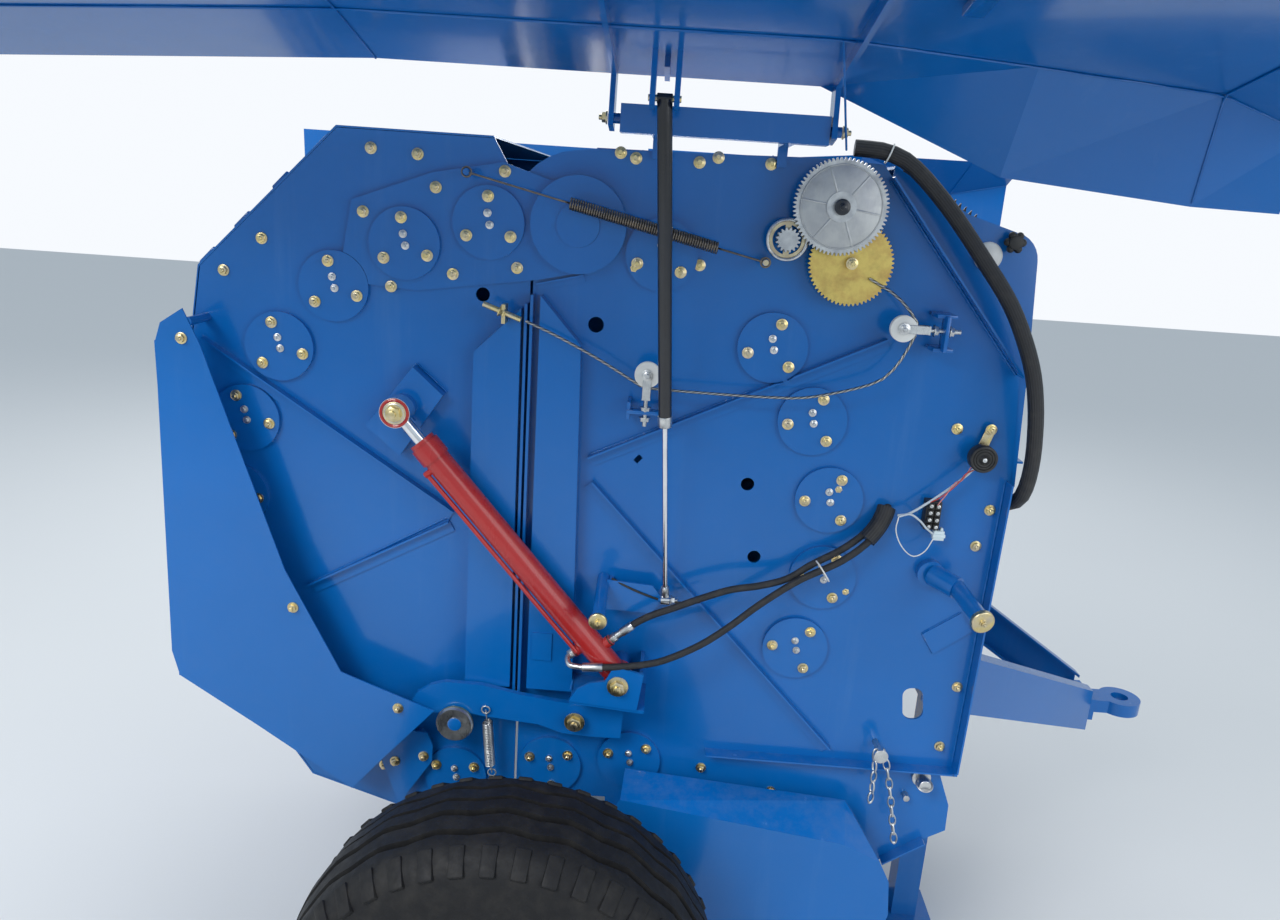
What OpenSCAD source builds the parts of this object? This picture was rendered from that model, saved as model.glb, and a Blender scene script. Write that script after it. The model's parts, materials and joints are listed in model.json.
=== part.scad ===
// Round baler with a fixed roller chamber, parked on its wheels and its stand.
// X points forwards, Y to the machine's left, Z up. Lengths are millimetres.
// Places in a side view are drawn from the centre of the bale chamber for a chamber of
// drawn_r, and out() moves them outwards when the chamber grows. A place's third number is
// how far it lies outboard of the side plate. at_hitch() then moves the machine so that the
// hitch eye is the origin.

/* [Bale chamber] */
// Radius of the circle that the rollers' centres lie on
chamber_r = 680; // [672:2:700]
// Angle from one roller to the next
roller_step = 15.71; // [15.5:0.01:15.9]
// Diameter of a roller
roller_d = 150; // [130:2:160]
// Wall thickness of a roller
roller_wall = 6; // [4:0.5:8]
// Diameter of a roller's shaft
roller_shaft_d = 50; // [40:1:55]
// Diameter of a roller's bearing flange
bearing_d = 152; // [140:1:156]
// Thickness of a bearing flange
bearing_t = 10; // [8:1:14]

/* [Side plates] */
// Distance between the outer faces of the side plates
body_w = 1320; // [1200:10:1440]
// Thickness of the side plates
plate_t = 6; // [5:0.5:8]
// Width of the flanges along the split line
flange_w = 34; // [24:1:40]
// Depth of the hat channels
channel_d = 40; // [30:1:44]
// Thickness of folded sheet
fold_t = 4; // [3:0.5:5]
// Width of the slit between the tailgate and the front frame
split_gap = 6; // [5:0.5:8]
// Side of the square tubes across the frame
beam_w = 60; // [50:2:60]
// Wall thickness of the square tubes
beam_wall = 5; // [4:0.5:6]

/* [Tailgate] */
// Diameter of the pivot's hub
hub_d = 200; // [180:2:204]
// Diameter of the pivot's stub
pivot_stub_d = 90; // [70:1:100]
// Running clearance of pins and stubs
run_gap = 0.3; // [0.2:0.05:0.5]
// Thickness of the tailgate's outer skin
skin_t = 4; // [3:0.5:6]
// Distance of the guard panels outboard of the side plates
guard_off = 90; // [86:1:96]

/* [Cylinders] */
// Outer diameter of the barrel
barrel_d = 58; // [50:1:62]
// Diameter of the rod
rod_d = 32; // [25:1:36]
// Length of rod between the barrel and the rod's eye when the tailgate is shut
rod_show = 47; // [40:1:60]
// Distance of the cylinders outboard of the side plates
cylinder_off = 85; // [82:1:90]
// Diameter of the pins
cylinder_pin_d = 26; // [22:1:30]
// Diameter of the eyes
cylinder_eye_d = 66; // [56:1:70]
// Width of the eyes
cylinder_eye_w = 40; // [30:1:42]

/* [Wheels] */
// Outer radius of the tyres
tyre_r = 445; // [435:1:455]
// Width of the tyres
tyre_w = 310; // [290:2:316]
// Depth of the grooves in the tyres
groove_d = 10; // [6:1:14]
// Radius of the rims
rim_r = 200; // [190:1:205]
// Distance of the wheels' middle planes outboard of the side plates
wheel_off = 470; // [465:1:490]
// Side of the axle's square tube
axle_tube = 90; // [80:2:100]
// Room between the lowest roller and the axle
axle_clear = 113; // [100:1:130]

/* [Covers] */
// Distance of the side covers' outer faces outboard of the side plates
cover_off = 240; // [236:1:250]
// Thickness of the covers
cover_t = 4; // [3:0.5:5]
// Height of the covers
cover_h = 1120; // [1050:10:1150]
// Angle that the covers lift
cover_lift = 100; // [80:1:102]
// Distance of the covers' hinge outboard of the side plates
hinge_off = 140; // [136:1:144]
// Diameter of the gas struts' tubes
strut_tube_d = 28; // [22:1:32]
// Diameter of the gas struts' rods
strut_rod_d = 12; // [10:1:16]

/* [Pickup] */
// Radius to the tips of the tines
tine_r = 240; // [220:2:246]
// Diameter of the tines
tine_d = 7; // [6:0.5:9]
// Distance between tines
tine_step = 66; // [60:1:72]
// Radius of the stripper bands
band_r = 170; // [160:1:180]
// Room between the tine reel and the side plates
reel_gap = 24; // [20:1:40]
// Distance of the pickup's side shields outboard of the side plates
shield_off = 140; // [120:1:150]
// Diameter of the tube that the pickup swings on
swing_tube_d = 60; // [50:1:64]

/* [Drawbar] */
// Distance of the hitch eye in front of the frame
hitch_reach = 711; // [690:1:750]
// Height of the hitch eye above the ground
hitch_h = 619; // [600:1:640]
// Bore of the hitch eye
hitch_bore_d = 50; // [40:1:54]
// Height of the hitch eye's ring
hitch_t = 40; // [30:1:50]
// Thickness of the drawbar's arms
arm_t = 10; // [8:1:14]
// Width of the parking stand's leg
stand_leg_w = 72; // [60:2:76]
// Diameter of the drive shaft stub
pto_d = 35; // [33:1:40]

/* [Hidden] */
$fn = 48;

blue = [0.05, 0.22, 0.50];
zinc = [0.72, 0.66, 0.42];
steel = [0.62, 0.63, 0.64];
black = [0.08, 0.08, 0.08];
red = [0.66, 0.10, 0.08];

drawn_r = 680;
grown = chamber_r - drawn_r;
function out(p) = p + grown * p / norm(p);
function outs(points) = [for (p = points) out(p)];

side_y = body_w / 2;
inner_y = side_y - plate_t;
pivot = out([82, 679]);
ear_r = hub_d / 2 + 50;
hinge_y = side_y + hinge_off;
hinge_z = 885 + grown;
wheel_y = side_y + wheel_off;

// Rollers on the frame and on the tailgate, as angles from straight ahead
pivot_roller_a = 83.4;
front_roller_a = [pivot_roller_a - roller_step, for (i = [0:4]) 41.4 - i * roller_step];
bottom_roller_at = outs([[70, -612], [263, -581]]);
tailgate_roller_a = [for (i = [1:11]) pivot_roller_a + i * roller_step];

axle_x = 45;
axle_z = bottom_roller_at[0][1] - roller_d / 2 - axle_clear - axle_tube / 2;
ground_z = axle_z - tyre_r;
front_x = 1050 + grown;
hitch_x = front_x + hitch_reach;
hitch_z = ground_z + hitch_h;

function on_circle(r, a) = [r * cos(a), r * sin(a)];
function arc(c, r, a0, a1, n) = [for (i = [0:n]) c + on_circle(r, a0 + (a1 - a0) * i / n)];
// A point in the YZ plane, swung about the right cover's hinge to the lifted pose
function lifted(p) = let (y = p[0] + hinge_y, z = p[1] - hinge_z)
    [y * cos(cover_lift) + z * sin(cover_lift) - hinge_y,
     -y * sin(cover_lift) + z * cos(cover_lift) + hinge_z];
function unit(v) = v / norm(v);
function heading(r, i) = unit(r[min(i + 1, len(r) - 1)] - r[max(i - 1, 0)]);
function carried(r, i, n) = i == len(r) ? [] :
    let (t = heading(r, i), m = unit(n - (n * t) * t)) concat([m], carried(r, i + 1, m));
// A place drawn as [x, off, z] on the machine's right side
function placed(p) = let (q = out([p[0], p[2]])) [q[0], -side_y - p[1], q[1]];
function route(points) = [for (p = points) placed(p)];

module at_hitch() translate([-hitch_x, 0, -hitch_z]) children();

module both_sides() {
    children();
    mirror([0, 1, 0]) children();
}

// A flat plate in the XZ plane, whose inner face is off outboard of the side plate
module plate(points, off, t) translate([0, -side_y - off, 0]) rotate([90, 0, 0])
    linear_extrude(t) polygon(outs(points));

// A round pin along Y, from off0 to off1 outboard of the side plate
module pin(at, off0, off1, d) {
    q = out(at);
    translate([q[0], -side_y - min(off0, off1), q[1]]) rotate([90, 0, 0])
        cylinder(h = abs(off1 - off0), d = d);
}

// A round bar across the machine, w long
module across(at, w, d) translate([at[0], w / 2, at[1]]) rotate([90, 0, 0]) cylinder(h = w, d = d);

// A round bar from p to q, which are drawn places
module bar(p, q, d) {
    a = placed(p);
    v = placed(q) - a;
    translate(a) rotate([0, acos(v[2] / norm(v)), atan2(v[1], v[0])]) cylinder(h = norm(v), d = d);
}

// A flat strip of width w from p to q, between off and off + t
module strip(p, q, w, off, t) {
    a = out(p);
    v = out(q) - a;
    translate([a[0], -side_y - off, a[1]]) rotate([0, -atan2(v[1], v[0]), 0])
        translate([0, -t, -w / 2]) cube([norm(v), t, w]);
}
// An angle section from p to q, one leg on the plate and one standing off it
module angle_bar(p, q, w, off, t) {
    strip(p, q, w, off, fold_t);
    a = out(p);
    v = out(q) - a;
    translate([a[0], -side_y - off, a[1]]) rotate([0, -atan2(v[1], v[0]), 0])
        translate([0, -t, w / 2 - fold_t]) cube([norm(v), t, fold_t]);
}

// A channel of folded sheet whose open side lies on the plate
module channel(outer, inner, depth) difference() {
    plate(outer, 0, depth);
    plate(inner, -1, depth + 1 - fold_t);
}

// A tube of diameter d along the points of a path
module tube(path, d, sides) {
    n = carried(path, 0, [0.3, 0.9, 0.3]);
    last = (len(path) - 1) * sides;
    points = [for (i = [0:len(path) - 1], k = [0:sides - 1])
        path[i] + d / 2 * (cos(360 * k / sides) * n[i]
            + sin(360 * k / sides) * cross(heading(path, i), n[i]))];
    faces = [for (i = [0:len(path) - 2], k = [0:sides - 1], h = [0, 1])
        let (a = i * sides + k, b = i * sides + (k + 1) % sides)
        h == 0 ? [a, a + sides, b] : [b, a + sides, b + sides]];
    polyhedron(points, concat(faces, [[for (k = [0:sides - 1]) k],
        [for (k = [sides - 1:-1:0]) last + k]]));
}

// A square tube across the machine
module beam(at, h) difference() {
    translate([at[0], -inner_y, at[1]]) cube([beam_w, 2 * inner_y, h]);
    translate([at[0] + beam_wall, -inner_y - 1, at[1] + beam_wall])
        cube([beam_w - 2 * beam_wall, 2 * inner_y + 2, h - 2 * beam_wall]);
}

swing_at = [265, -735];
// Halfway across the slit, and each side's edge along it
split_x = -15;
front_edge_x = split_x + split_gap / 2;
tailgate_edge_x = split_x - split_gap / 2;
// Angle at which a circle about the pivot meets an upright edge below it
function meets(r, x) = 180 + acos((pivot[0] - x) / r);
module side_plate(drawn, corner) translate([0, -inner_y, 0]) rotate([90, 0, 0])
    linear_extrude(plate_t) polygon(concat(outs(drawn), corner));

front_outline = [[210, -694], [210, -780], [320, -780], [320, -692], [446, -660], [700, -670],
    [811, -700], [900, -813], [1007, -740], [1054, -712], [1052, -641], [1020, -560], [1052, -537],
    [1064, 200], [1046, 421], [701, 839], [588, 845], [96, 832]];
front_hole = [[127, 472, 34], [486, 139, 30], [517, -33, 30], [51, -58, 44]];
lift_slot = [[898, -335], [946, -331], [957, -412], [909, -417]];
module front_plate_half() {
    difference() {
        side_plate(front_outline, concat(arc(pivot, ear_r, 95, meets(ear_r, front_edge_x), 12),
            [[front_edge_x, out([0, -700])[1]]]));
        plate(lift_slot, -plate_t - 1, plate_t + 2);
        for (h = front_hole) pin([h[0], h[1]], -plate_t - 1, 1, h[2]);
        strip([231, 172], [243, 186], 12, -plate_t - 1, plate_t + 2);
        pin(swing_at, -plate_t - 1, 1, swing_tube_d + 2 * run_gap);
    }
    // Stub that carries the tailgate
    translate([pivot[0], -side_y, pivot[1]]) rotate([90, 0, 0]) cylinder(h = 38, d = pivot_stub_d);
    // Base pin of the cylinder, between the side plate and an outer plate on two webs
    pin(cylinder_base, 0, cylinder_off + 46, cylinder_pin_d);
    pin(cylinder_base, 0, cylinder_off - cylinder_eye_w / 2 - 1, cylinder_eye_d - 20);
    plate([[119, -364], [137, -333], [165, -315], [199, -308], [212, -280], [231, -273],
           [285, -285], [274, -375]], cylinder_off + cylinder_eye_w / 2 + 17, 8);
    strip([121, -367], [291, -380], 8, 0, cylinder_off + cylinder_eye_w / 2 + 21);
    strip([269, -378], [279, -290], 8, 0, cylinder_off + cylinder_eye_w / 2 + 22);
    // The latch's pivot
    pin(latch_at, 0, latch_off + latch_t + 18, latch_pin_d);
    pin(latch_at, 0, latch_off - 0.5, latch_pin_d + 16);
    // Patch over the split, on the front frame only
    plate([[66, -244], [66, -312], [20, -312], [20, -244]], channel_d, fold_t);
    // Flange along the split, and the hat channel beside it
    translate([front_edge_x, -side_y - flange_w, out([0, -420])[1]])
        cube([plate_t, flange_w, out([0, 530])[1] - out([0, -420])[1]]);
    channel([[10, 530], [100, 430], [112, -150], [118, -390], [10, -390]],
        [[14, 522], [96, 429], [108, -150], [114, -391], [14, -391]], channel_d);
    // Stiffeners
    difference() {
        union() {
            angle_bar([130, 167], [756, 475], 26, 0, 22);
            angle_bar([130, 114], [735, -510], 26, 0, 22);
        }
        bearing_room(front_roller_a);
    }
    angle_bar([-2, 545], [98, 570], 16, 0, 14);
    // Flanges along the sloped front edge, the front edge and the bottom edge
    strip([716, 815], [1040, 428], fold_t, 0, 40);
    strip([1046, -530], [1057, 190], fold_t, 0, 40);
    strip([446, -537], [1040, -537], fold_t, 0, 34);
    strip([904, -802], [1000, -736], fold_t, 0, 30);
    // Posts that the closed cover rests against, and a patch behind one of them
    plate([[923, -190], [1004, -131], [1035, -175], [954, -238]], 0, 6);
    pin([917, -36], 0, 22, 62);
    bar([921, 18, -37], [963, 70, -45], 50);
    bar([963, 65, -45], [981, 190, -63], 38);
    bar([176, 1, -113], [179, 190, -131], 30);
    // Arm and lower pin of the gas strut
    plate([[186, -100], [290, -106], [308, -128], [308, -150], [290, -174], [186, -172]], 34, 6);
    strip([190, -136], [200, -136], 62, 0, 36);
    translate([out([321, -139])[0] - 16, -side_y - 40, out([321, -139])[1]]) rotate([0, 90, 0])
        cylinder(h = 32, d = 12);
}
module bearing_room(angles) for (a = angles) pin(on_ring(a), -1, 60, bearing_d + 2);
module front_side_plates() color(blue) at_hitch() both_sides() front_plate_half();

module bearing(at, off) pin(at, off, off + bearing_t, bearing_d);
function on_ring(a) = on_circle(drawn_r, a);
module front_bearings() color(blue) at_hitch() both_sides() {
    for (a = front_roller_a) bearing(on_ring(a), 0);
    for (p = [[70, -612], [263, -581]]) bearing(p, 0);
}

roller_end = 12;
roller_web = 10;
// A tube on a through shaft, joined by a disc halfway along
module roller(at) {
    bore = roller_d / 2 - roller_wall;
    shaft = roller_shaft_d / 2;
    half = inner_y - roller_end;
    translate([at[0], 0, at[1]]) rotate([90, 0, 0]) rotate_extrude()
        polygon([[0, -inner_y], [shaft, -inner_y], [shaft, -roller_web / 2], [bore, -roller_web / 2],
            [bore, -half], [roller_d / 2, -half], [roller_d / 2, half], [bore, half],
            [bore, roller_web / 2], [shaft, roller_web / 2], [shaft, inner_y], [0, inner_y]]);
}
module front_rollers() color(steel) at_hitch() {
    for (a = concat([pivot_roller_a], front_roller_a)) roller(on_circle(chamber_r, a));
    for (p = bottom_roller_at) roller(p);
}
module tailgate_rollers() color(steel) at_hitch()
    for (a = tailgate_roller_a) roller(on_circle(chamber_r, a));

// Each beam's lower back corner and its height
beams = [[990, -400, 140], [779, 600, 60], [980, 110, 60], [400, -530, 60]];
module frame_beams() color(blue) at_hitch() {
    for (b = beams) beam(out([b[0], b[1]]), b[2]);
    // Outriggers that carry the side plates on the axle
    both_sides() difference() {
        translate([axle_x - 48, -inner_y, axle_z + axle_tube / 2])
            cube([108, 20, out([0, -690])[1] - axle_z - axle_tube / 2]);
        translate([axle_x + 6, -inner_y - 1, axle_z + axle_tube / 2 + 52]) rotate([-90, 0, 0])
            cylinder(h = 22, d = 44);
    }
}

module axle() color(blue) at_hitch() {
    stub = wheel_y - 60;
    difference() {
        translate([axle_x - axle_tube / 2, -stub, axle_z - axle_tube / 2])
            cube([axle_tube, 2 * stub, axle_tube]);
        translate([axle_x - axle_tube / 2 + 8, -stub + 12, axle_z - axle_tube / 2 + 8])
            cube([axle_tube - 16, 2 * stub - 24, axle_tube - 16]);
    }
    both_sides() translate([axle_x, -stub, axle_z]) rotate([90, 0, 0]) cylinder(h = 130, d = 60);
    // Plates that join the outriggers to the tube
    both_sides() translate([axle_x - 60, -inner_y - 12, axle_z - axle_tube / 2 - 12])
        cube([126, 44, 12]);
}

module top_sheet() color(blue) at_hitch() translate([0, inner_y, 0]) rotate([90, 0, 0])
    linear_extrude(2 * inner_y) polygon(outs([[110, 800], [110, 836], [590, 841], [700, 835],
        [700, 800], [694, 800], [694, 829], [590, 835], [116, 830], [116, 800]]));

// The net box's sheet, with its rounded top corner
net_corner = arc([982, 662], 62, 66, 4, 5);
net_sheet = concat([[724, 838], [889, 752]], net_corner, [[1062, 452], [1078, 176]]);
net_inner = concat([[1072, 176], [1056, 450]], arc([982, 662], 56, 4, 66, 5), [[886, 747], [722, 832]]);
module net_box() color(blue) at_hitch() {
    y = inner_y - run_gap;
    translate([0, y, 0]) rotate([90, 0, 0]) linear_extrude(2 * y)
        polygon(outs(concat(net_sheet, net_inner)));
    both_sides() {
        difference() {
            translate([0, -y + 6, 0]) rotate([90, 0, 0]) linear_extrude(6)
                polygon(outs(concat(net_sheet, [[1058, 176], [1040, 420], [722, 800]])));
            translate([out([939, 671])[0], -y - 1, out([939, 671])[1]]) rotate([-90, 0, 0])
                cylinder(h = 10, d = 46);
        }
    }
    // Stiffening folds across the front sheet
    for (p = [[1066, 400], [1075, 230]]) translate([out(p)[0], -y, out(p)[1]]) cube([12, 2 * y, 5]);
}

arm_y = side_y - 100;
module drawbar_arm() {
    hull() {
        translate([front_x, -arm_y, -439]) cube([2, arm_t, 151]);
        translate([hitch_x - 120, -70, hitch_z - 61]) cube([2, arm_t, 127]);
    }
    hull() {
        translate([front_x, -arm_y, -292]) cube([2, 46, 8]);
        translate([hitch_x - 120, -70, hitch_z + 58]) cube([2, 40, 8]);
    }
    hull() {
        translate([front_x, -arm_y, -443]) cube([2, 46, 8]);
        translate([hitch_x - 120, -70, hitch_z - 65]) cube([2, 40, 8]);
    }
}
module drawbar() color(blue) at_hitch() {
    both_sides() drawbar_arm();
    // Neck and eye
    translate([hitch_x - 150, -62, hitch_z - 34]) cube([50, 124, 68]);
    difference() {
        union() {
            translate([hitch_x, 0, hitch_z - hitch_t / 2]) cylinder(h = hitch_t, d = 120, $fn = 64);
            translate([hitch_x - 120, -38, hitch_z - hitch_t / 2]) cube([90, 76, hitch_t]);
        }
        translate([hitch_x, 0, hitch_z - hitch_t]) cylinder(h = 2 * hitch_t, d = hitch_bore_d, $fn = 64);
    }
    // Headstock against the frame, and the sleeve of the parking stand
    translate([front_x, -arm_y - 20, -430]) cube([12, 2 * arm_y + 40, 170]);
    difference() {
        translate([front_x + 12, stand_y - 44, -560]) cube([100, 88, 300]);
        translate([stand_x - stand_leg_w / 2 - 0.5, stand_y - stand_leg_w / 2 - 0.5, -600])
            cube([stand_leg_w + 1, stand_leg_w + 1, 400]);
        translate([stand_x, stand_y - 60, -300]) rotate([-90, 0, 0]) cylinder(h = 30, d = 18);
    }
}

gearbox_z = -150;
module gearbox() color(steel) at_hitch() {
    translate([front_x - 190, -110, gearbox_z - 110]) cube([230, 220, 220]);
    translate([front_x + 40, 0, gearbox_z]) rotate([0, 90, 0]) cylinder(h = 30, d = 120);
    translate([front_x + 40, 0, gearbox_z]) rotate([0, 90, 0]) cylinder(h = 100, d = pto_d, $fn = 64);
    translate([front_x - 75, -110, gearbox_z]) rotate([90, 0, 0]) cylinder(h = inner_y - 110, d = 50);
}

stand_y = -250;
stand_x = front_x + 12 + 50;
stand_h = 780;
module stand_leg() color(blue) at_hitch() {
    difference() {
        translate([stand_x - stand_leg_w / 2, stand_y - stand_leg_w / 2, ground_z + 12])
            cube([stand_leg_w, stand_leg_w, max(stand_h, -420 - ground_z)]);
        translate([stand_x - stand_leg_w / 2 + 5, stand_y - stand_leg_w / 2 + 5, ground_z + 20])
            cube([stand_leg_w - 10, stand_leg_w - 10, max(stand_h, -420 - ground_z)]);
        for (h = [300:60:660]) translate([stand_x, stand_y - 60, ground_z + h]) rotate([-90, 0, 0])
            cylinder(h = 30, d = 18);
    }
    translate([stand_x - 80, stand_y - 80, ground_z]) cube([160, 160, 12]);
}

// Pins of the drawbar and the lower plate, the knobs on the posts and two chains on their post
chain_post = [852, -480];
chains = [[[842, 55, -481], [844, 60, -540], [844, 60, -624]],
          [[864, 55, -479], [884, 60, -560], [918, 60, -726]]];
module pins_and_chains() color(zinc) at_hitch() both_sides() {
    pin([974, -567], 0, 46, 30);
    pin([974, -567], 0, 8, 46);
    pin([941, -618], 0, 22, 16);
    pin(chain_post, 0, 70, 16);
    pin(chain_post, 66, 70, 34);
    for (c = chains) tube(route(c), 12, 8);
    bar([981, 191, -63], [983, 204, -65], 51);
    bar([179, 191, -131], [179, 200, -132], 40);
}

hinge_x0 = 165;
hinge_x1 = 560;
module hinge_beams() color(blue) at_hitch() both_sides() {
    difference() {
        translate([hinge_x0, -hinge_y - 20, hinge_z - 26]) cube([hinge_x1 - hinge_x0, 40, 52]);
        translate([hinge_x0 + 6, -hinge_y - 16, hinge_z - 22]) cube([hinge_x1 - hinge_x0 - 12, 32, 44]);
    }
    for (x = [hinge_x0 + 60, hinge_x1 - 80]) {
        translate([x, -hinge_y + 20, hinge_z - 26]) cube([20, hinge_off - 20, 40]);
        translate([x, -side_y - 12, hinge_z - 65]) cube([20, 12, 79]);
    }
    for (x = [hinge_x0 - 24, hinge_x1])
        translate([x, -hinge_y, hinge_z]) rotate([0, 90, 0]) cylinder(h = 24, d = 20);
}

// Toothed wheel with n teeth between two offsets
function tooth_r(k, tip, root) = [root, root, tip, tip][k % 4];
module gear(at, n, tip, root, off, t) {
    q = out(at);
    translate([q[0], -side_y - off, q[1]]) rotate([90, 0, 0]) linear_extrude(t)
        polygon([for (k = [0:4 * n - 1]) on_circle(tooth_r(k, tip, root), k * 90 / n)]);
}
big_gear = [612, 750];
cable_gear = [650, 640];
pinion = [513, 679];
module net_gears() at_hitch() {
    color(steel) {
        difference() {
            gear(big_gear, 70, 96, 90, 56, 10);
            for (a = [0:60:300]) pin(big_gear + on_circle(56, a), 50, 70, 38);
        }
        pin(big_gear, 0, 78, 30);
        pin(big_gear, 66, 72, 60);
    }
    color(zinc) {
        gear(cable_gear, 60, 88, 83, 30, 8);
        pin(cable_gear, 0, 48, 24);
        gear(pinion, 16, 25, 20, 50, 18);
        pin(pinion, 0, 50, 34);
        difference() {
            pin(pinion, 40, 48, 84);
            pin(pinion, 39, 49, 60);
        }
        for (a = [90, 270]) strip(pinion, pinion + on_circle(36, a), 12, 40, 8);
    }
}

spring_off = 62;
spring_back = [-146, 770];
spring_front = [472, 631];
module spring_eye(at) difference() {
    pin(at, spring_off - 4, spring_off + 4, 26);
    pin(at, spring_off - 5, spring_off + 5, 12 + 2 * run_gap);
}
module tension_spring() color(steel) at_hitch() {
    v = unit(spring_front - spring_back);
    l = norm(spring_front - spring_back);
    // Start, end and diameter of the hook, the coil and the long wire
    for (s = [[10, 210, 8], [210, 530, 26], [530, l - 10, 8]]) {
        p = spring_back + v * s[0];
        q = spring_back + v * s[1];
        bar([p[0], spring_off, p[1]], [q[0], spring_off, q[1]], s[2]);
    }
    spring_eye(spring_back);
    spring_eye(spring_front);
}

cable_off = 65;
cable_d = 8;
back_pulley = [247, 383];
front_pulley = [768, 517];
pulley_r = 24;
function at_off(points, off) = [for (p = points) [p[0], off, p[1]]];
cable_r = pulley_r + cable_d / 2 + 0.8;
cable_route = concat(
    at_off(concat([[-16, 478], [47, 453], [144, 407]], arc(back_pulley, cable_r, -118, -90, 2),
        [[512, 353], [596, 360], [717, 396], [762, 434]],
        arc(front_pulley, cable_r, -25, 45, 3)), cable_off),
    [[753, 52, 578], [722, 44, 596], [690, 43, 612]]);
module trip_cable() color(steel) at_hitch() tube(route(cable_route), cable_d, 8);
module cable_pulleys() color(steel) at_hitch() {
    for (p = [back_pulley, front_pulley]) {
        difference() {
            pin(p, cable_off - 6, cable_off + 6, 2 * pulley_r);
            for (a = [0:90:270]) pin(p + on_circle(14, a), cable_off - 7, cable_off + 7, 9);
        }
        pin(p, 0, cable_off + 16, 14);
        pin(p, cable_off - 16, cable_off - 8, 30);
    }
    pin(spring_front, 0, spring_off + 10, 12);
}
module electrics() at_hitch() {
    color(black) pin([982, 247], 12, 54, 60);
    color(steel) {
        strip([993, 302], [982, 250], 20, 10, 4);
        pin([993, 300], 0, 16, 16);
        translate([out([850, 60])[0], -side_y - 30, out([850, 60])[1]]) cube([40, 30, 60]);
    }
}
// The front hoses' route from the tie at the top, down round the front edge and inside
hose_route = [[630, 34, 866], [692, 38, 862], [748, 42, 838], [830, 48, 762], [917, 62, 658],
    [975, 72, 582], [1015, 76, 510], [1044, 78, 440], [1062, 76, 370], [1074, 68, 305], [1082, 56, 255],
    [1086, 42, 205], [1086, 22, 164], [1081, -6, 140], [1070, -34, 130], [1057, -46, 128], [1040, -46, 128]];
module hydraulic_hoses() color(black) at_hitch() tube(route(hose_route), 34, 12);
// The cylinders' hoses, which leave their barrels in front of the base pins
cylinder_hose = [[[330, 110, -246], [406, 96, -206], [470, 86, -154], [531, 78, -104], [613, 70, -50],
                  [697, 64, -6], [750, 50, 30], [785, 30, 66], [800, 17, 100], [804, 8, 112], [804, 0, 112]],
                 [[330, 84, -142], [398, 80, -112], [465, 72, -88], [528, 66, -78], [590, 56, -60],
                  [640, 50, -22], [700, 42, 16], [742, 32, 52], [762, 18, 90],
    [766, 8, 102], [766, 0, 102]]];
module cylinder_hoses() color(black) at_hitch() both_sides() for (h = cylinder_hose) tube(route(h), 16, 8);

tailgate_outline = [[-102, 841], [-431, 842], [-736, 540], [-762, 380], [-762, -330], [-520, -690],
    [-300, -762], [-120, -745]];
module tailgate_side_plates() color(blue) at_hitch() both_sides() {
    difference() {
        side_plate(tailgate_outline, concat([[tailgate_edge_x, out([0, -700])[1]]],
            arc(pivot, ear_r + split_gap, meets(ear_r + split_gap, tailgate_edge_x), 164, 8),
            [pivot + [-157, 116]]));
        for (h = [[-120, 520, 30], [-640, 60, 40], [-600, -330, 34]])
            pin([h[0], h[1]], -plate_t - 1, 1, h[2]);
    }
    translate([tailgate_edge_x - plate_t, -side_y - flange_w, out([0, -420])[1]])
        cube([plate_t, flange_w, out([0, 510])[1] - out([0, -420])[1]]);
    channel([[-30, 500], [-130, 400], [-136, -390], [-30, -390]],
        [[-34, 492], [-126, 398], [-132, -391], [-34, -391]], channel_d);
    difference() {
        union() {
            angle_bar([-740, 376], [-180, 16], 28, 0, 22);
            angle_bar([-508, -191], [-180, -10], 28, 0, 18);
        }
        bearing_room(tailgate_roller_a);
    }
    // Lower sheet on two spacers
    plate([[-345, -607], [-265, -534], [-227, -537], [-214, -571], [-216, -614], [-297, -740]], 26, 4);
    for (p = [[-250, -552], [-278, -690]]) pin(p, 0, 26, 18);
    // Box that the cylinder's rod pulls on
    difference() {
        plate([[-263, 357], [-197, 299], [-292, 156], [-368, 219]], 0, 34);
        plate([[-262, 349], [-206, 299], [-292, 166], [-359, 220]], -1, 31);
    }
    pin(cylinder_eye, 0, cylinder_off - cylinder_eye_w / 2 - 1, cylinder_eye_d - 8);
    plate([[-310, 239], [-283, 209], [-256, 239], [-283, 266]], 34, 6);
}

skin_outline = [[-104, 846], [-433, 847], [-741, 542], [-767, 381], [-767, -332], [-523, -695],
    [-301, -767], [-118, -750]];
module tailgate_skin() color(blue) at_hitch() {
    translate([0, side_y, 0]) rotate([90, 0, 0]) linear_extrude(body_w)
        polygon(outs(concat(skin_outline, [for (i = [len(skin_outline) - 1:-1:0])
            skin_outline[i] + skin_t * [sign(0 - skin_outline[i][0]) * 0.5, -sign(skin_outline[i][1])]])));
    // Pressed ribs across the back
    for (z = [-240, -80, 80, 240]) translate([out([-767, 0])[0] - 12, -side_y + 60, z - 30])
        cube([12.5, body_w - 120, 60]);
}

// The first two bearings stand on the bolted pivot plate
pivot_plate_t = 5;
pivot_plate_off = 5.5;
module tailgate_bearings() color(blue) at_hitch() both_sides() for (i = [0:len(tailgate_roller_a) - 1])
    bearing(on_ring(tailgate_roller_a[i]), i < 2 ? pivot_plate_off + pivot_plate_t : 0);

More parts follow.
